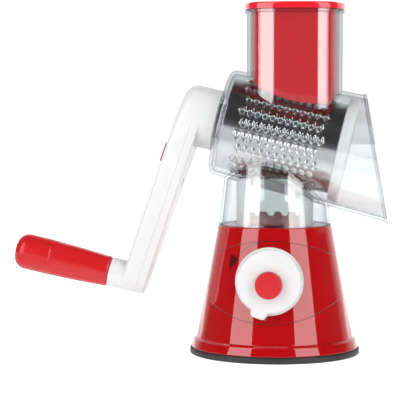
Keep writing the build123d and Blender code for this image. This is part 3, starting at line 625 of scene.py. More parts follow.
    def drum_steel(self) -> bpy.types.Material:
        """Bright rolled stainless sheet, its gloss finely uneven."""
        return self._make("stainless_sheet_bright_rolled", lambda graph: graph.add("BsdfPrincipled", {
            "Base Color": linear("d4d5d6"), "Metallic": 1.0, "Roughness": graph.uneven(1.4, (0.1, 0.2), 6.0),
            "Normal": graph.bump(graph.noise(4.0), 0.008),
        }).outputs[0])

    def plated_steel(self) -> bpy.types.Material:
        """Zinc-plated screws, axle and spring."""
        return self._make("steel_zinc_plated", lambda graph: graph.add("BsdfPrincipled", {
            "Base Color": linear("b4b6b9"), "Metallic": 1.0, "Roughness": graph.uneven(1.5, (0.25, 0.4)),
        }).outputs[0])

    def rubber(self) -> bpy.types.Material:
        """Black moulded rubber with a fine satin texture."""
        return self._make("rubber_black_moulded", lambda graph: graph.add("BsdfPrincipled", {
            "Base Color": graph.blend(graph.noise(3.0), linear("1b1d1c"), linear("272a29")), "Roughness": 0.5,
            "Normal": graph.bump(graph.noise(0.5), 0.05),
        }).outputs[0])


# --- Assemblies ---------------------------------------------------------------------------

Sizes = TypeVar("Sizes")


class Assembly(Generic[Sizes]):
    """Pieces that share one set of sizes and the palette."""

    def __init__(self, palette: Palette, sizes: Sizes) -> None:
        self.palette = palette
        self.sizes = sizes

    def moulded(self, obj: bpy.types.Object, piece: Piece, finish: Finish) -> None:
        """Finishes a piece in one of the plastics."""
        finish_piece(obj, piece, self.palette.plastic(finish))


# --- Base ---------------------------------------------------------------------------------


@dataclass(frozen=True)
class BaseSizes:
    """Red shell, rubber foot and the lines on the shell."""

    skirt_radius: float = 64.4
    skirt_top_radius: float = 62.3
    skirt_top: float = 11.5
    step_top: float = 13.1
    cone_low_radius: float = 60.3
    cone_top_radius: float = 43.7
    wall: float = 2.5
    refined: float = 6.0
    rubber_radius: float = 65.3
    membrane_radius: float = 12.0
    membrane_top: float = 7.5
    turret_teeth: int = 14
    turret_wall: float = 3.0
    turret_notch: float = 5.0
    turret_tip: float = 8.0
    boss_radius: float = 23.0
    boss_depth: float = 14.0
    line_radius: float = 91.0
    line_width: float = 0.6
    line_depth: float = 0.3
    # darker red for the engraved grooves: painted shade, not a colour of the plastic
    groove_shade_colour: str = "74070c"
    upper_line_centre: float = -1.5
    lower_line_centre: float = 119.5
    arrow_radius: float = 30.9
    arrow_width: float = 0.7
    arrow_start: float = 93.0
    arrow_end: float = 146.0
    arrow_head_radius: float = 32.4
    arrow_head_width: float = 8.0
    arrow_tip: float = 168.0
    arrow_soft: Span = (-0.5, 0.9)
    arrow_colour: str = "4c0c0d"


class Base(Assembly[BaseSizes]):
    """Suction base: shell with the knob's boss, rubber foot and the toothed turret."""

    STEPS_PER_TOOTH = 8
    TOOTH_STEPS = range(2, 6)

    def build(self) -> None:
        """Makes every piece of the base."""
        self._shell()
        self._rubber()
        self._turret()

    def _shell(self) -> None:
        """Cone, skirt and deck, with the boss that carries the knob."""
        s = self.sizes
        top = LAYOUT.base_top
        outline = rounded([
            (s.skirt_radius - s.wall, LAYOUT.rubber_top, 0),
            (s.skirt_radius, LAYOUT.rubber_top, 0.6),
            (s.skirt_top_radius, s.skirt_top, 1.2),
            (s.cone_low_radius, s.step_top, 0.8),
            (s.cone_top_radius, top, 1.3),
            (0, top, 0),
        ])
        inner = [(0, top - s.wall), (s.cone_top_radius - s.wall, top - s.wall),
                 (s.cone_low_radius - s.wall, s.step_top)]
        shell = to_object(lathe(self._refine(outline, s.refined) + inner, 192), "base_shell_skin", WORLD)
        combine(shell, cylinder(s.boss_radius, -s.boss_depth, 0, 0.6), KNOB)
        piece = Piece("base_shell_skin", "stand", "red_gloss", ("base_shell",))
        finish_piece(shell, piece, self.palette.base_red(s))

    @staticmethod
    def _refine(outline: list[Point], step: float) -> list[Point]:
        """Adds points along the long runs of an outline."""
        fine = [outline[0]]
        for start, end in zip(outline, outline[1:]):
            parts = max(1, int(hypot(end[0] - start[0], end[1] - start[1]) / step))
            fine += along_line(start, end, parts)
        return fine

    def _rubber(self) -> None:
        """Foot ring and membrane, a little wider than the shell that bears on it."""
        s = self.sizes
        outline = rounded([
            (0, 2.6, 0), (50.0, 1.6, 0), (58.0, 0.0, 1.0), (s.rubber_radius, 0.0, 1.2),
            (s.rubber_radius - 0.2, LAYOUT.rubber_top, 1.4), (s.membrane_radius, LAYOUT.rubber_top, 0),
            (s.membrane_radius, s.membrane_top, 0), (0, s.membrane_top, 0),
        ])
        foot = to_object(lathe(outline, 160), "foot_rubber", WORLD)
        piece = Piece("foot_rubber", "stand", "black_rubber", ("suction_cup",))
        finish_piece(foot, piece, self.palette.rubber())

    def _turret(self) -> None:
        """Toothed ring on the deck: a ring whose upper edge steps up and down."""
        s = self.sizes
        low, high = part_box("locking_turret")
        outer = (high[0] - low[0]) / 2 / MM
        inner = outer - s.turret_wall
        base = LAYOUT.base_top
        count = s.turret_teeth * self.STEPS_PER_TOOTH
        mesh = bmesh.new()
        rings = []
        for radius, raised in ((outer, False), (outer, True), (inner, True), (inner, False)):
            ring = []
            for index in range(count):
                angle = 2 * pi * index / count
                crest = s.turret_tip if index % self.STEPS_PER_TOOTH in self.TOOTH_STEPS else s.turret_notch
                height = base + crest if raised else base
                ring.append(mesh.verts.new((*polar(radius, angle), height)))
            rings.append(ring)
        for first, second in zip(rings, rings[1:] + rings[:1]):
            for index in range(count):
                after = (index + 1) % count
                mesh.faces.new((first[index], first[after], second[after], second[index]))
        turret = to_object(mesh, "turret_teeth", WORLD)
        piece = Piece("turret_teeth", "stand", "red_soft", ("locking_turret",), 20.0)
        self.moulded(turret, piece, Finish.RED_SMALL)


# --- Knob ---------------------------------------------------------------------------------


@dataclass(frozen=True)
class KnobSizes:
    """White locking knob and its red cap, from the boss's face outwards.

    The tab fades between two parts of its half angle.  A scoop is a heading, the distance of its
    centre from the knob's axis and its reach; one ball cuts them all.
    """

    gap: float = 0.35
    lift: float = 1.9
    radius: float = 25.3
    body_radius: float = 23.6
    thickness: float = 9.5
    flange: float = 2.4
    rounding: float = 2.4
    tab_reach: float = 26.9
    tab_angle: float = 250.5
    tab_half: float = 14.0
    tab_fade: Span = (0.72, 1.25)
    tab_inset: float = 0.4
    scoops: tuple[tuple[float, float, float], ...] = ((69.6, 64.4, 48.3), (188.0, 47.9, 32.1))
    scoop_ball: float = 100.0
    cap_radius: float = 10.1
    cap_rise: float = 6.6
    cap_sink: float = 3.0
    cap_gap: float = 0.05
    back_edge: float = 0.4
    back_share: float = 0.985


class Knob(Assembly[KnobSizes]):
    """Knob with two finger scoops and a grip tab, as a height over the boss's face."""

    RINGS = 64
    RING_POWER = 0.8
    SPOKES = 256

    def build(self) -> None:
        """Makes the knob and its cap."""
        self._knob()
        self._cap()

    def _tab(self, angle: float) -> float:
        """How much of the tab there is in a direction, 0 to 1."""
        off = abs((degrees(angle) - self.sizes.tab_angle + 180) % 360 - 180)
        return 1 - smooth(*(self.sizes.tab_half * share for share in self.sizes.tab_fade), off)

    def _disc(self, radius: float, angle: float) -> float:
        """Distance from the knob's axis to the edge of a disc that sits above it."""
        lift = self.sizes.lift
        return lift * sin(angle) + sqrt(radius ** 2 - (lift * cos(angle)) ** 2)

    def _height(self, radius: float, angle: float) -> float:
        """Front surface of the knob in polar coordinates about its axis."""
        s = self.sizes
        tab = self._tab(angle)
        top = s.gap + s.thickness
        body = self._disc(s.body_radius, angle)
        edge = body + (s.tab_reach - s.tab_inset - body) * tab
        height = top
        if radius > edge - s.rounding:
            over = min(1.0, (radius - edge + s.rounding) / s.rounding)
            height = top - s.rounding * (1 - sqrt(max(0.0, 1 - over * over)))
        if radius > edge:
            height = s.gap + s.flange
        x, y = polar(radius, angle)
        for heading, away, reach in s.scoops:
            far = hypot(x - away * cos(radians(heading)), y - away * sin(radians(heading)))
            if far < reach:
                floor = top + sqrt(s.scoop_ball ** 2 - reach ** 2) - sqrt(s.scoop_ball ** 2 - far ** 2)
                height = min(height, floor)
        return height

    def _knob(self) -> None:
        """Polar grid over the front, closed by the rim and a flat back."""
        s = self.sizes
        loops: list[Loop] = []
        angles = [2 * pi * spoke / self.SPOKES for spoke in range(self.SPOKES)]
        start = s.cap_radius + s.cap_gap
        loops.append([(*polar(start, a), s.gap + s.thickness - s.cap_sink) for a in angles])
        for ring in range(self.RINGS + 1):
            loop = []
            for a in angles:
                disc = self._disc(s.radius, a)
                reach = disc + (s.tab_reach - disc) * self._tab(a)
                radius = start + (reach - start) * (ring / self.RINGS) ** self.RING_POWER
                loop.append((*polar(radius, a), self._height(radius, a)))
            loops.append(loop)
        outer = [(x, y) for x, y, _ in loops[-1]]
        for share, height in ((1.0, s.gap + s.back_edge), (s.back_share, s.gap)):
            loops.append([(x * share, y * share, height) for x, y in outer])
        knob = to_object(skin(loops), "knob_body", KNOB)
        self.moulded(knob, Piece("knob_body", "lock_knob", "white_gloss", ("knob",), 50.0), Finish.WHITE)

    def _cap(self) -> None:
        """Red cap with a soft edge and a barely domed face."""
        s = self.sizes
        base = s.gap + s.thickness - s.cap_sink
        top = s.gap + s.thickness + s.cap_rise
        outline = rounded([
            (0, base, 0), (s.cap_radius, base, 0), (s.cap_radius - 0.2, top - 0.3, 1.5), (0, top, 0),
        ])
        cap = to_object(lathe(outline, 96), "knob_button", KNOB)
        self.moulded(cap, Piece("knob_button", "lock_knob", "red_soft", ("knob_cap",)), Finish.RED_SMALL)


# --- Clear moulding and pusher ------------------------------------------------------------


@dataclass(frozen=True)
class ClearSizes:
    """Column, housing, mouth and chute of the clear moulding."""

    wall: float = 2.5
    column_radius: float = 43.2
    column_taper: float = 0.1127
    column_top: float = 154.5
    socket_radius: float = 29.5
    housing_rear: float = -43.6
    housing_radius: float = 41.0
    housing_taper: float = 0.036
    housing_rounding: float = 5.0
    mouth_top: float = 61.5
    mouth_bottom: float = 99.6
    bead: float = 0.9
    bead_width: float = 2.2
    bearing_radius: float = 17.0
    bearing_end: float = -45.0
    bore: float = 13.46
    bore_span: Span = (-60.0, -30.0)
    past_mouth: float = 12.0
    chute_length: float = 72.8
    chute_width: float = 74.5
    chute_corner: float = 14.0
    chute_crown: float = 22.0
    chute_start: float = 130.0
    lip: float = 1.4
    lip_height: float = 2.6
    lip_slope: float = 0.3
    lip_rounding: float = 0.5


class ClearMoulding(Assembly[ClearSizes]):
    """The one-piece clear moulding, joined from its main forms."""

    def build(self) -> None:
        """Joins the outer forms, then hollows them."""
        s = self.sizes
        body = to_object(self._housing(0.0), "clear_moulding", DRUM)
        combine(body, self._bead(), DRUM)
        for ring in self._columns():
            combine(body, ring, WORLD)
        combine(body, self._chute(0.0, s.lip), WORLD)
        combine(body, cylinder(s.bearing_radius, s.housing_rear + 1, s.bearing_end, segments=96), DRUM)
        combine(body, self._housing(s.wall), DRUM, "DIFFERENCE")
        combine(body, self._chute(s.wall, 0.0), WORLD, "DIFFERENCE")
        combine(body, cylinder(s.bore, *s.bore_span, segments=96), DRUM, "DIFFERENCE")
        piece = Piece("clear_moulding", "stand", "clear_plastic", ("clear_body",), 28.0)
        finish_piece(body, piece, self.palette.clear())

    def _radius(self, along: float, inset: float) -> float:
        """Radius of the housing at a place along its axis."""
        s = self.sizes
        return s.housing_radius - inset + s.housing_taper * (along - s.housing_rear)

    def _housing(self, inset: float) -> bmesh.types.BMesh:
        """Conical body; the outer one ends at the slanted mouth."""
        s = self.sizes
        rear = s.housing_rear + inset
        end = s.mouth_bottom + s.past_mouth
        foot = (self._radius(rear, inset), rear)
        side = along_line(foot, (self._radius(end, inset), end), 24)
        corner = rounded([(0, rear, 0), (*foot, s.housing_rounding - inset), (*side[0], 0)])[:-1]
        mesh = lathe(corner + side + [(0, end)], 160)
        if inset == 0:
            slice_off(mesh, *self._mouth(0.0))
        return mesh

    def _mouth(self, back: float) -> tuple[Vector, Vector]:
        """Point on the mouth plane and its outward normal, in the drum frame."""
        s = self.sizes
        top = Vector((self._radius(s.mouth_top, 0), 0, s.mouth_top - back))
        low = Vector((-self._radius(s.mouth_bottom, 0), 0, s.mouth_bottom - back))
        along = (top - low).normalized()
        return top, Vector((-along.z, 0, along.x)).normalized()

    def _bead(self) -> bmesh.types.BMesh:
        """Thickened edge round the mouth."""
        s = self.sizes
        rear = s.mouth_top - s.past_mouth
        end = s.mouth_bottom + s.past_mouth
        side = [(self._radius(along, -s.bead), along) for along in (rear, end)]
        mesh = lathe([(0, rear), *side, (0, end)], 160)
        slice_off(mesh, *self._mouth(0.0))
        point, normal = self._mouth(s.bead_width)
        slice_off(mesh, point, -normal)
        return mesh

    def _columns(self) -> list[bmesh.types.BMesh]:
        """Tapered column and the inner tube over the turret, as rings."""
        s = self.sizes
        low, high = LAYOUT.base_top, s.column_top
        rings = []
        for radius, taper, segments in ((s.column_radius, s.column_taper, 160), (s.socket_radius, 0.0, 128)):
            foot = (radius, low)
            outer = [foot] + along_line(foot, (radius - taper * (high - low), high), 10)
            inner = [(reach - s.wall, height) for reach, height in reversed(outer)]
            rings.append(lathe(outer + inner, segments, closed=True))
        return rings

    def _chute(self, inset: float, lip: float) -> bmesh.types.BMesh:
        """Upright prism of the chute above the drum's axis; the outer one has a lip."""
        s = self.sizes
        top = LAYOUT.chute_top + (20 if inset else 0)
        last = top - (s.lip_height if lip else 0)

        def ring(grow: float, height: float) -> Loop:
            """Level outline of the chute, grown on all sides."""
            outline = crowned_rectangle(
                s.chute_length - 2 * inset + 2 * grow, s.chute_width - 2 * inset + 2 * grow,
                s.chute_corner - inset + grow, s.chute_crown,
            )
            return [(LAYOUT.chute_x + x, y, height) for x, y in outline]

        steps = 18
        loops = [ring(0, s.chute_start + (last - s.chute_start) * step / steps) for step in range(steps + 1)]
        if lip:
            soft = s.lip_rounding
            loops += [ring(lip, last + s.lip_slope), ring(lip, top - soft), ring(lip - soft, top)]
        mesh = skin(loops)
        up = DRUM.to_3x3() @ Vector((1, 0, 0))
        slice_off(mesh, DRUM.translation, -up)
        return mesh


@dataclass(frozen=True)
class PusherSizes:
    """Red pusher, hanging by its rim on the chute."""

    length: float = 66.0
    width: float = 67.7
    wall: float = 2.5
    rim: float = 1.9
    rim_height: float = 4.8
    foot_level: float = 37.8
    foot_radius: float = 63.0
    foot_round: float = 1.6


class Pusher(Assembly[PusherSizes]):
    """Open-topped cup whose hollowed foot follows the drum."""

    FLOOR_SHARES = (0.03, 0.2, 0.4, 0.6, 0.8)
    FLANK_STEPS = 12
    ROUND_STEPS = 4

    def __init__(self, palette: Palette, sizes: PusherSizes, chute: ClearSizes) -> None:
        super().__init__(palette, sizes)
        self.chute = chute

    def _foot(self, x: float, y: float, lift: float) -> float:
        """Height of the hollowed foot under a point, grown by a wall."""
        s = self.sizes
        radius = s.foot_radius + lift
        level = s.foot_level - s.foot_radius + sqrt(max(0.0, radius ** 2 - y ** 2))
        tilt = radians(LAYOUT.axis_tilt)
        return LAYOUT.axis_height + (level - x * sin(tilt)) / cos(tilt)

    def build(self) -> None:
        """Outer wall, rim, inner wall and floor in one closed skin."""
        s, c = self.sizes, self.chute
        inset = (c.chute_length - s.length) / 2

        def ring(grow: float, height: Callable[[float, float], float], scale: float = 1.0) -> Loop:
            """Outline of the cup, grown and scaled, at a height that depends on place."""
            outline = crowned_rectangle(
                s.length + 2 * grow, s.width + 2 * grow, c.chute_corner - inset + grow, c.chute_crown
            )
            points = [(LAYOUT.chute_x + x * scale, y * scale) for x, y in outline]
            return [(x, y, height(x, y)) for x, y in points]

        def under(lift: float, rise: float) -> Callable[[float, float], float]:
            """Height of the foot's underside, grown by a lift, and a rise above it."""
            return lambda x, y: self._foot(x, y, lift) + rise

        def flank(grow: float, lift: float, rise: float, level: float, share: float) -> Loop:
            """Outline part of the way from a level down to the foot."""
            return ring(grow, lambda x, y: level + (self._foot(x, y, lift) + rise - level) * share)

        shares = [step / self.FLANK_STEPS for step in range(1, self.FLANK_STEPS + 1)]
        loops = [ring(-s.foot_round, under(0, 0), scale) for scale in self.FLOOR_SHARES]
        for step in range(self.ROUND_STEPS + 1):
            turn = pi / 2 * step / self.ROUND_STEPS
            loops.append(ring(-s.foot_round * (1 - sin(turn)), under(0, s.foot_round * (1 - cos(turn)))))
        seat = LAYOUT.chute_top
        loops += [flank(0, 0, s.foot_round, seat, 1 - share) for share in shares]
        top, rim = seat + s.rim_height, inset + s.rim
        for grow, height in ((rim, seat), (rim, top - 1.4), (rim - 0.4, top - 0.5), (rim - 1.3, top),
                             (-s.wall + 1.2, top), (-s.wall + 0.2, top - 0.5), (-s.wall, top - 1.5)):
            loops.append(ring(grow, lambda x, y, height=height: height))
        loops += [flank(-s.wall, s.wall, 0, top - 1.5, share) for share in shares]
        loops += [ring(-s.wall, under(s.wall, 0), scale) for scale in reversed(self.FLOOR_SHARES)]
        cup = to_object(skin(loops), "pusher_cup", WORLD)
        self.moulded(cup, Piece("pusher_cup", "feeder", "red_soft", ("pusher",), 40.0), Finish.RED_PUSHER)


# --- Drum ---------------------------------------------------------------------------------


@dataclass(frozen=True)
class DrumSizes:
    """Punched sheet, its teeth, hub plate and end ring, along the drum's axis."""

    radius: float = 35.0
    sheet: float = 0.8
    sheet_shown: float = 0.56
    rear: float = -38.5
    front: float = 50.0
    rows: int = 22
    teeth: int = 11
    pitch: float = 5.9
    plain_band: float = 10.0
    tooth_width: float = 4.9
    tooth_height: float = 1.8
    tooth_slope: Span = (1.0, 5.2)
    tooth_narrowing: float = 0.25
    narrowing_length: float = 5.0
    arch_power: float = 0.6
    first_row: float = 101.0
    ring_length: float = 8.0
    ring_radius: float = 40.2
    ring_sink: float = 6.0
    ring_wall: float = 1.4
    hub_thickness: float = 3.0
    boss_radius: float = 13.4
    boss_end: float = -71.5
    boss_wall: float = 2.5


class Drum(Assembly[DrumSizes]):
    """Grating drum: a fine grid round the cylinder, lifted into teeth and pierced."""

    CELLS_ROUND = 16
    EDGE_CELL = 6
    OPEN_CELLS = 5
    WIDE_CELLS = 3
    CELLS_PER_PITCH = 8

    def build(self) -> None:
        """Makes the sheet, the end ring and the hub."""
        self._sheet()
        self._ring()
        self._hub()

    def _lift(self, back: float, aside: float) -> float:
        """Height of a tooth at a distance behind its edge and beside its middle."""
        s = self.sizes
        if back < -0.01:
            return 0.0
        half = s.tooth_width / 2 * (1 - s.tooth_narrowing * smooth(0, s.narrowing_length, back))
        arch = max(0.0, 1 - (aside / half) ** 2) ** s.arch_power
        return s.tooth_height * arch * (1 - smooth(*s.tooth_slope, back))

    def _sheet(self) -> None:
        """Grid of cells; the ones in front of each edge are left open."""
        s = self.sizes
        step = s.pitch / self.CELLS_PER_PITCH
        cells = round((s.front - s.rear) / step)
        first = round((s.plain_band + s.tooth_width / 2) / step)
        count = s.rows * self.CELLS_ROUND
        arc = 2 * pi / count
        mesh = bmesh.new()
        rings = []
        for index in range(count):
            row, cell = divmod(index, self.CELLS_ROUND)
            angle = radians(s.first_row) + 2 * pi / s.rows * row - (cell - self.EDGE_CELL) * arc
            rings.append((row, cell, angle))
        rings.sort(key=lambda item: item[2])
        grid = []
        for row, cell, angle in rings:
            column = []
            for place in range(cells + 1):
                lift = self._lift_at(row, cell, place, first, arc)
                radius = s.radius + lift
                along = s.rear + (s.front - s.rear) * place / cells
                column.append(mesh.verts.new((*polar(radius, angle), along)))
            grid.append(column)
        for index in range(count):
            after = (index + 1) % count
            row, cell, _ = rings[after]
            for place in range(cells):
                if not self._is_open(row, cell, place, first):
                    mesh.faces.new((grid[index][place], grid[after][place],
                                    grid[after][place + 1], grid[index][place + 1]))
        loose = [vert for vert in mesh.verts if not vert.link_faces]
        bmesh.ops.delete(mesh, geom=loose, context="VERTS")
        bmesh.ops.recalc_face_normals(mesh, faces=mesh.faces)
        sheet = to_object(mesh, "grater_sheet", DRUM)
        thickness = sheet.modifiers.new("sheet thickness", "SOLIDIFY")
        thickness.thickness = s.sheet_shown * MM
        thickness.offset = -1.0
        piece = Piece("grater_sheet", "rotor", "drum_steel", ("grater_drum",), 60.0)
        finish_piece(sheet, piece, self.palette.drum_steel())

    def _tooth_offset(self, row: int, place: int, first: int) -> int | None:
        """Cells between a place and the middle of its nearest tooth, or None past the teeth."""
        start = first + (row % 2) * self.CELLS_PER_PITCH // 2
        number = round((place - start) / self.CELLS_PER_PITCH)
        if not 0 <= number < self.sizes.teeth:
            return None
        return place - start - number * self.CELLS_PER_PITCH

    def _lift_at(self, row: int, cell: int, place: int, first: int, arc: float) -> float:
        """Height of the sheet at one corner of the grid."""
        offset = self._tooth_offset(row, place, first)
        if offset is None:
            return 0.0
        back = (cell - self.EDGE_CELL) * arc * self.sizes.radius
        return self._lift(back, offset * self.sizes.pitch / self.CELLS_PER_PITCH)

    def _is_open(self, row: int, cell: int, place: int, first: int) -> bool:
        """True for the cells of the opening in front of a tooth's edge."""
        if cell not in range(self.EDGE_CELL - self.OPEN_CELLS, self.EDGE_CELL):
            return False
        left = self._tooth_offset(row, place, first)
        right = self._tooth_offset(row, place + 1, first)
        if left is None or right is None:
            return False
        reach = 2 if cell >= self.EDGE_CELL - self.WIDE_CELLS else 1
        return -reach <= left <= reach - 1

    def _ring(self) -> None:
        """White end ring with a soft outer corner."""
        s = self.sizes
        inside = s.radius - s.sheet
        inner = inside - s.ring_wall
        end = s.front + s.ring_length
        outline = rounded([
            (inner, s.front - s.ring_sink, 0), (inside, s.front - s.ring_sink, 0), (inside, s.front, 0),
            (s.ring_radius - 1.2, s.front, 0.6), (s.ring_radius, s.front + s.ring_length / 2, 3.0),
            (s.ring_radius, end, 1.5), (inner, end, 0),
        ])
        ring = to_object(lathe(outline, 160, closed=True), "drum_ring_white", DRUM)
        self.moulded(ring, Piece("drum_ring_white", "rotor", "white_gloss", ("drum_end_ring",)), Finish.RING)

    def _hub(self) -> None:
        """Hub plate inside the drum, and the hollow boss that goes through the bearing."""
        s = self.sizes
        plate, bore = s.radius - s.sheet, s.boss_radius - s.boss_wall
        front, floor = s.rear + s.hub_thickness, s.rear - s.boss_wall
        outline = rounded([
            (0, front, 0), (plate, front, 0), (plate, s.rear, 0), (s.boss_radius, s.rear, 0),
            (s.boss_radius, s.boss_end, 0.6), (bore, s.boss_end, 0), (bore, floor, 0), (0, floor, 0),
        ])
        hub = to_object(lathe(outline, 128), "drum_hub_white", DRUM)
        self.moulded(hub, Piece("drum_hub_white", "rotor", "white_gloss", ("drum_hub",)), Finish.RING)


# --- Crank --------------------------------------------------------------------------------


@dataclass(frozen=True)
class CrankSizes:
    """Hub, leaning arm and grip socket of the crank."""

    hub_radius: float = 23.4
    hub_start: float = -45.4
    length: float = 131.0
    end_radius: float = 13.5
    lean: float = 6.3
    thickness: float = 19.7
    inner_at_axis: float = -55.6
    cover: float = 6.5
    rounding: float = 4.5
    hub_rounding: float = 8.5
    rounding_span: Span = (-18.0, 12.0)
    seam: float = 0.3
    socket_radius: float = 11.7
    socket_end: float = -101.0
    bore: float = 13.5
    bore_span: Span = (-30.0, -72.0)
    lid_edge: float = 1.2
    lid_opening: Span = (-30.0, -90.0)
    screw_places: Span = (-52.0, -104.0)
    recess_radius: float = 3.7
    recess_depth: float = 2.5


class Crank(Assembly[CrankSizes]):
    """White crank made of leaning layers of one outline."""

    def build(self) -> None:
        """Makes the arm with hub and socket, and its cover."""
        self._arm()
        self._cover()

    def face(self, place: float) -> float:
        """Where the arm's inner face lies along the axis, at a place along the arm."""
        return self.sizes.inner_at_axis + place * tan(radians(self.sizes.lean))

    @lru_cache(maxsize=None)
    def _outline(self, inset: float) -> list[Point]:
        """Outline of hub and arm, drawn in by an inset."""
        s = self.sizes
        lean = asin((s.hub_radius - s.end_radius) / s.length)

        def arc(centre: float, radius: float, start: float, end: float, parts: int) -> list[Point]:
            """Points of an arc about a centre on the arm's line."""
            turns = [start + (end - start) * step / parts for step in range(parts + 1)]
            return [(centre + radius * cos(turn), radius * sin(turn)) for turn in turns]

        hub = arc(0.0, s.hub_radius - inset, -pi / 2 - lean, pi / 2 + lean, 48)
        end = arc(-s.length, s.end_radius - inset, pi / 2 + lean, 3 * pi / 2 - lean, 24)
        return hub + along_line(hub[-1], end[0], 16)[:-1] + end + along_line(end[-1], hub[0], 16)[:-1]

    def _layer(self, inset: Callable[[float], float], depth: Callable[[float], float]) -> Loop:
        """Loop of the outline at a depth behind the inner face; both may depend on place."""
        loop = []
        for index, (x, _) in enumerate(self._outline(0.0)):
            px, py = self._outline(round(inset(x), 4))[index]
            loop.append((px, py, self.face(px) - depth(x)))
        return loop

    def _rounding(self, place: float) -> float:
        """Radius of the outer edge, larger round the hub."""
        s = self.sizes
        return s.rounding + (s.hub_rounding - s.rounding) * smooth(*s.rounding_span, place)

    def _arm(self) -> None:
        """Outer half of the crank, with the hub and the grip socket joined on."""
        s = self.sizes
        loops = [
            self._layer(lambda x: s.seam, lambda x: s.cover),
            self._layer(lambda x: 0.0, lambda x: s.cover + s.seam),
        ]
        steps = 8
        for step in range(steps + 1):
            turn = pi / 2 * step / steps
            loops.append(self._layer(
                lambda x, turn=turn: self._rounding(x) * (1 - cos(turn)),
                lambda x, turn=turn: s.thickness - self._rounding(x) * (1 - sin(turn)),
            ))
        arm = to_object(skin(loops), "crank_white", DRUM)
        hub_end = s.inner_at_axis - s.cover - 4
        combine(arm, cylinder(s.hub_radius, hub_end, s.hub_start, 0.8), DRUM)
        inner = self.face(-LAYOUT.grip_offset) - s.cover - 2
        combine(arm, cylinder(s.socket_radius, inner, s.socket_end, 0.8, 96), GRIP)
        combine(arm, cylinder(s.bore, *s.bore_span, segments=96), DRUM, "DIFFERENCE")
        self.moulded(arm, Piece("crank_white", "rotor", "white_gloss", ("crank_arm",)), Finish.WHITE)

    def _cover(self) -> None:
        """Inner lid of the arm, with a fine seam against the arm and recessed screws."""
        s = self.sizes
        loops = []
        for step in range(6):
            turn = pi / 2 * step / 5
            loops.append(self._layer(
                lambda x, turn=turn: s.lid_edge * (1 - sin(turn)),
                lambda x, turn=turn: s.lid_edge * (1 - cos(turn)),
            ))
        loops.append(self._layer(lambda x: 0.0, lambda x: s.cover - s.seam))
        loops.append(self._layer(lambda x: s.seam, lambda x: s.cover))
        cover = to_object(skin(loops), "crank_lid", DRUM)
        combine(cover, cylinder(s.hub_radius, *s.lid_opening), DRUM, "DIFFERENCE")
        for place in s.screw_places:
            seat = self.face(place) - s.recess_depth
            recess = cylinder(s.recess_radius, seat, seat + 10, segments=48)
            combine(cover, recess, DRUM @ Matrix.Translation((place, 0, 0)), "DIFFERENCE")
        self.moulded(cover, Piece("crank_lid", "rotor", "white_gloss", ("crank_cover",)), Finish.WHITE)


@dataclass(frozen=True)
class ButtonSizes:
    """Release button on the arm's outer face."""

    top: float = -25.0
    length: float = 15.0
    width: float = 15.0
    gap: float = 0.46
    rise: float = 1.44
    wedge: float = 0.36
    corner: float = 3.0


class ReleaseButton(Assembly[ButtonSizes]):
    """Red wedge over the arm's slot."""

    def __init__(self, palette: Palette, sizes: ButtonSizes, crank: Crank) -> None:
        super().__init__(palette, sizes)
        self.crank = crank

    def build(self) -> None:
        """Rounded plate that thickens towards its lower end."""
        s = self.sizes
        centre = s.top - s.length / 2
        start = self.crank.sizes.thickness + s.gap

        def ring(grow: float, depth: Callable[[float], float]) -> Loop:
            """Outline of the button, grown, at a depth that depends on place."""
            outline = rounded_rectangle(s.length + 2 * grow, s.width + 2 * grow, s.corner + grow)
            return [(centre + x, y, self.crank.face(centre + x) - depth(x)) for x, y in outline]

        def crown(share: float) -> Callable[[float], float]:
            """Depth of a part of the button's rise, more towards its lower end."""
            return lambda x: start + s.rise * share + s.wedge * share * (0.5 - x / s.length)

        steps = ((0.0, 0.0), (0.0, 0.6), (-0.25, 0.85), (-0.7, 1.0), (-1.6, 1.02))
        loops = [ring(grow, crown(share)) for grow, share in steps]
        button = to_object(skin(loops), "release_button", DRUM)
        self.moulded(button, Piece("release_button", "release", "red_soft"), Finish.RED_SMALL)


# --- Grip ---------------------------------------------------------------------------------


@dataclass(frozen=True)
class GripSizes:
    """Turning grip, along its own axis; spans are parts of the sleeve's length or of a panel's wave."""

    start: float = -101.35
    sleeve_end: float = -149.0
    end: float = -177.0
    neck_radius: float = 11.7
    full_radius: float = 13.8
    end_rounding: float = 9.0
    panels: int = 6
    panel_depth: float = 0.55
    panel_start: Span = (0.04, 0.14)
    panel_end: Span = (0.86, 0.96)
    panel_flank: Span = (0.25, 0.75)
    swell_power: float = 0.9
    neck_edge: float = 0.9
    neck_span: Span = (0.0, 0.03)
    seam: float = 0.25
    seam_span: Span = (0.975, 1.0)


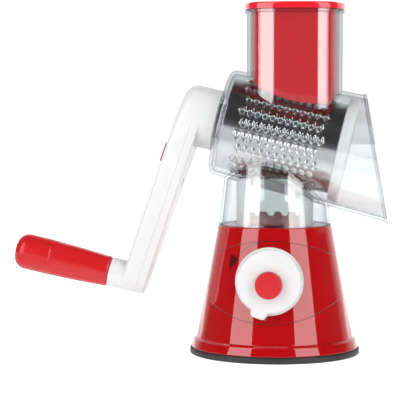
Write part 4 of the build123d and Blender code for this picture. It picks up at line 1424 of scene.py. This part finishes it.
class Grip(Assembly[GripSizes]):
    """Red sleeve with shallow panels and a smooth rounded end."""

    SPOKES = 144

    def build(self) -> None:
        """Makes the sleeve and its end cap."""
        self._sleeve()
        self._cap()

    def _radius(self, along: float) -> float:
        """Radius of the sleeve, swelling gently from its neck."""
        s = self.sizes
        share = (s.start - along) / (s.start - s.sleeve_end)
        return s.neck_radius + (s.full_radius - s.neck_radius) * sin(pi / 2 * share) ** s.swell_power

    def _sleeve(self) -> None:
        """Loops along the axis, dipped into panels that fade out at both ends."""
        s = self.sizes
        steps = 40
        loops: list[Loop] = []
        for step in range(steps + 1):
            share = step / steps
            along = s.start + (s.sleeve_end - s.start) * share
            fade = smooth(*s.panel_start, share) * (1 - smooth(*s.panel_end, share))
            edge = s.neck_edge * (1 - smooth(*s.neck_span, share)) + s.seam * smooth(*s.seam_span, share)
            loop = []
            for spoke in range(self.SPOKES):
                angle = 2 * pi * spoke / self.SPOKES
                wave = 0.5 + 0.5 * cos(s.panels * angle)
                radius = self._radius(along) - edge - s.panel_depth * fade * smooth(*s.panel_flank, wave)
                loop.append((*polar(radius, angle), along))
            loops.append(loop)
        sleeve = to_object(skin(loops), "grip_panels", GRIP)
        piece = Piece("grip_panels", "grip", "red_soft", ("grip_sleeve",), 45.0)
        self.moulded(sleeve, piece, Finish.RED_GRIP)

    def _cap(self) -> None:
        """Smooth rounded end."""
        s = self.sizes
        outline = rounded([
            (0, s.sleeve_end, 0), (s.full_radius - s.seam, s.sleeve_end, 0),
            (s.full_radius, s.sleeve_end - 0.5, 0.3), (s.full_radius, s.end, s.end_rounding),
            (0, s.end - 0.01, 0),
        ], 12)
        cap = to_object(lathe(outline, self.SPOKES), "grip_end", GRIP)
        self.moulded(cap, Piece("grip_end", "grip", "red_soft", ("grip_end_cap",)), Finish.RED_GRIP)


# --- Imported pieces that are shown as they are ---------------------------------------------


def dress_frame(palette: Palette) -> None:
    """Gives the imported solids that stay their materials."""
    steel = palette.plated_steel()
    grey = palette.plastic(Finish.GREY)
    red = palette.plastic(Finish.RED_SMALL)
    wear = {
        "base_plate": grey, "lift_stem": grey, "cam_shaft": grey, "base_screws": steel, "knob_screw": steel,
        "crank_screws": steel, "latch_spring": steel, "grip_axle": steel, "grip_washer": steel,
        "release_slider": red,
    }
    for node, material in wear.items():
        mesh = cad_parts[node].data
        mesh.materials.clear()
        mesh.materials.append(material)


# --- Studio -------------------------------------------------------------------------------


@dataclass(frozen=True)
class Softbox:
    """Upright rectangular light; its azimuth is measured as the camera's is."""

    name: str
    azimuth: float
    distance: float
    width: float
    height: float
    centre: float
    power: float


@dataclass(frozen=True)
class StudioSizes:
    """Camera, floor and lights.

    Spans of the floor are metres from the object; those of the room are parts of a unit direction.
    """

    azimuth: float = 6.3
    elevation: float = 3.44
    distance: float = 1300.0
    target: tuple[float, float, float] = (-58.0, 0.0, 117.25)
    view_width: float = 309.6
    sensor: float = 36.0
    clip_end: float = 20.0
    floor_half: float = 6000.0
    paper: float = 0.7
    glow_span: Span = (0.1, 0.5)
    glow: Span = (0.7, 1.1)
    mirrored_span: Span = (0.2, 0.27)
    mirrored: Span = (0.68, 0.15)
    floor_behind: Span = (0.1, 0.6)
    room_span: Span = (0.0, 0.3)
    room: Span = (0.12, 0.04)
    room_behind: Span = (0.5, 0.9)
    backdrop: float = 0.95
    fill_light: float = 0.54
    sky: float = 1.02
    boxes: tuple[Softbox, ...] = (
        Softbox("softbox_left", -46.7, 1600.0, 1000.0, 2400.0, 1220.0, 22.3),
        Softbox("softbox_right", 50.8, 1600.0, 1000.0, 2400.0, 1220.0, 22.3),
    )


class Studio:
    """White sweep, two tall softboxes and the camera."""

    def __init__(self, sizes: StudioSizes = StudioSizes()) -> None:
        self.sizes = sizes

    def build(self) -> None:
        """Makes the floor, the lights, the world and the camera."""
        self._floor()
        self._world()
        for box in self.sizes.boxes:
            self._softbox(box)
        self._camera()
        bpy.context.scene.view_settings.view_transform = "Standard"

    def _floor(self) -> None:
        """Wide white floor that looks evenly white to the camera."""
        s = self.sizes
        mesh = bmesh.new()
        bmesh.ops.create_grid(mesh, x_segments=1, y_segments=1, size=s.floor_half)
        floor = to_object(mesh, "floor", WORLD)
        material = bpy.data.materials.new("paper_white_matt")
        graph = Graph(material)
        away = graph.add("VectorMath", {0: graph.coordinates["Object"]}, operation="LENGTH").outputs["Value"]
        mirrored = self._bounced(
            graph, graph.map_range(away, s.mirrored_span, s.mirrored), graph.axes()["Y"], s.floor_behind
        )
        strength = graph.mix(self._directly_seen(graph), mirrored, graph.map_range(away, s.glow_span, s.glow))
        paper = graph.add("BsdfDiffuse", {"Color": (s.paper, s.paper, s.paper, 1.0)}).outputs[0]
        glow = graph.add("Emission", {"Color": WHITE, "Strength": strength}).outputs[0]
        graph.add("OutputMaterial", {"Surface": graph.add("AddShader", {0: paper, 1: glow}).outputs[0]})
        floor.data.materials.append(material)

    @staticmethod
    def _directly_seen(graph: Graph) -> Socket:
        """1 for rays that come from the camera, also through clear plastic, without a reflection."""
        bounces = graph.math("ADD", graph.ray("Glossy Depth"), graph.ray("Diffuse Depth"))
        return graph.math("LESS_THAN", bounces, 0.5)

    def _bounced(self, graph: Graph, light: Socket, depth: Socket, behind: Span) -> Socket:
        """Light for rays that are not seen directly.

        Args:
            graph: nodes of the floor or the world.
            light: what reflections show in front of the object.
            depth: coordinate that grows behind the object.
            behind: span of depth over which the backdrop takes over.

        Returns:
            The light that reflections show, and the even fill for diffuse rays.
        """
        light = graph.mix(graph.map_range(depth, behind), light, self.sizes.backdrop)
        return graph.mix(graph.ray("Is Glossy Ray"), self.sizes.fill_light, light)

    def _world(self) -> None:
        """White to the eye and through the clear plastic, darker upwards in reflections."""
        s = self.sizes
        world = bpy.data.worlds.new("studio")
        graph = Graph(world)
        axes = graph.axes("Generated")
        room = self._bounced(graph, graph.map_range(axes["Z"], s.room_span, s.room), axes["Y"], s.room_behind)
        dim, bright = (graph.add("Background", {"Color": WHITE, "Strength": strength}).outputs[0]
                       for strength in (room, s.sky))
        graph.add("OutputWorld", {"Surface": graph.mix_shader(self._directly_seen(graph), dim, bright)})
        bpy.context.scene.world = world

    def _softbox(self, box: Softbox) -> None:
        """One area light that faces the object."""
        light = bpy.data.lights.new(box.name, "AREA")
        light.shape = "RECTANGLE"
        light.size = box.width * MM
        light.size_y = box.height * MM
        light.energy = box.power
        obj = bpy.data.objects.new(box.name, light)
        bpy.context.scene.collection.objects.link(obj)
        turn = radians(box.azimuth)
        place = Vector((sin(turn), -cos(turn), 0)) * box.distance
        place.z = box.centre
        obj.location = place * MM
        flat = Vector((-place.x, -place.y, 0))
        obj.rotation_euler = flat.to_track_quat("-Z", "Y").to_euler()

    def _camera(self) -> None:
        """Long lens at the photograph's place."""
        s = self.sizes
        data = bpy.data.cameras.new("camera")
        data.sensor_width = s.sensor
        data.lens = s.sensor * s.distance / s.view_width
        data.clip_end = s.clip_end
        camera = bpy.data.objects.new("camera", data)
        bpy.context.scene.collection.objects.link(camera)
        yaw, pitch = radians(s.azimuth), radians(s.elevation)
        back = Vector((sin(yaw) * cos(pitch), -cos(yaw) * cos(pitch), sin(pitch)))
        camera.location = (Vector(s.target) + back * s.distance) * MM
        camera.rotation_euler = (-back).to_track_quat("-Z", "Y").to_euler()
        bpy.context.scene.camera = camera


def main() -> None:
    """Builds every piece and the studio."""
    logging.basicConfig(level=logging.INFO, format="%(name)s %(message)s")
    palette = Palette()
    crank = Crank(palette, CrankSizes())
    clear = ClearSizes()
    for assembly in (
        Base(palette, BaseSizes()), Knob(palette, KnobSizes()), ClearMoulding(palette, clear),
        Pusher(palette, PusherSizes(), clear), Drum(palette, DrumSizes()), crank,
        ReleaseButton(palette, ButtonSizes(), crank), Grip(palette, GripSizes()),
    ):
        assembly.build()
    dress_frame(palette)
    Studio().build()


if __name__ == "__main__":
    main()
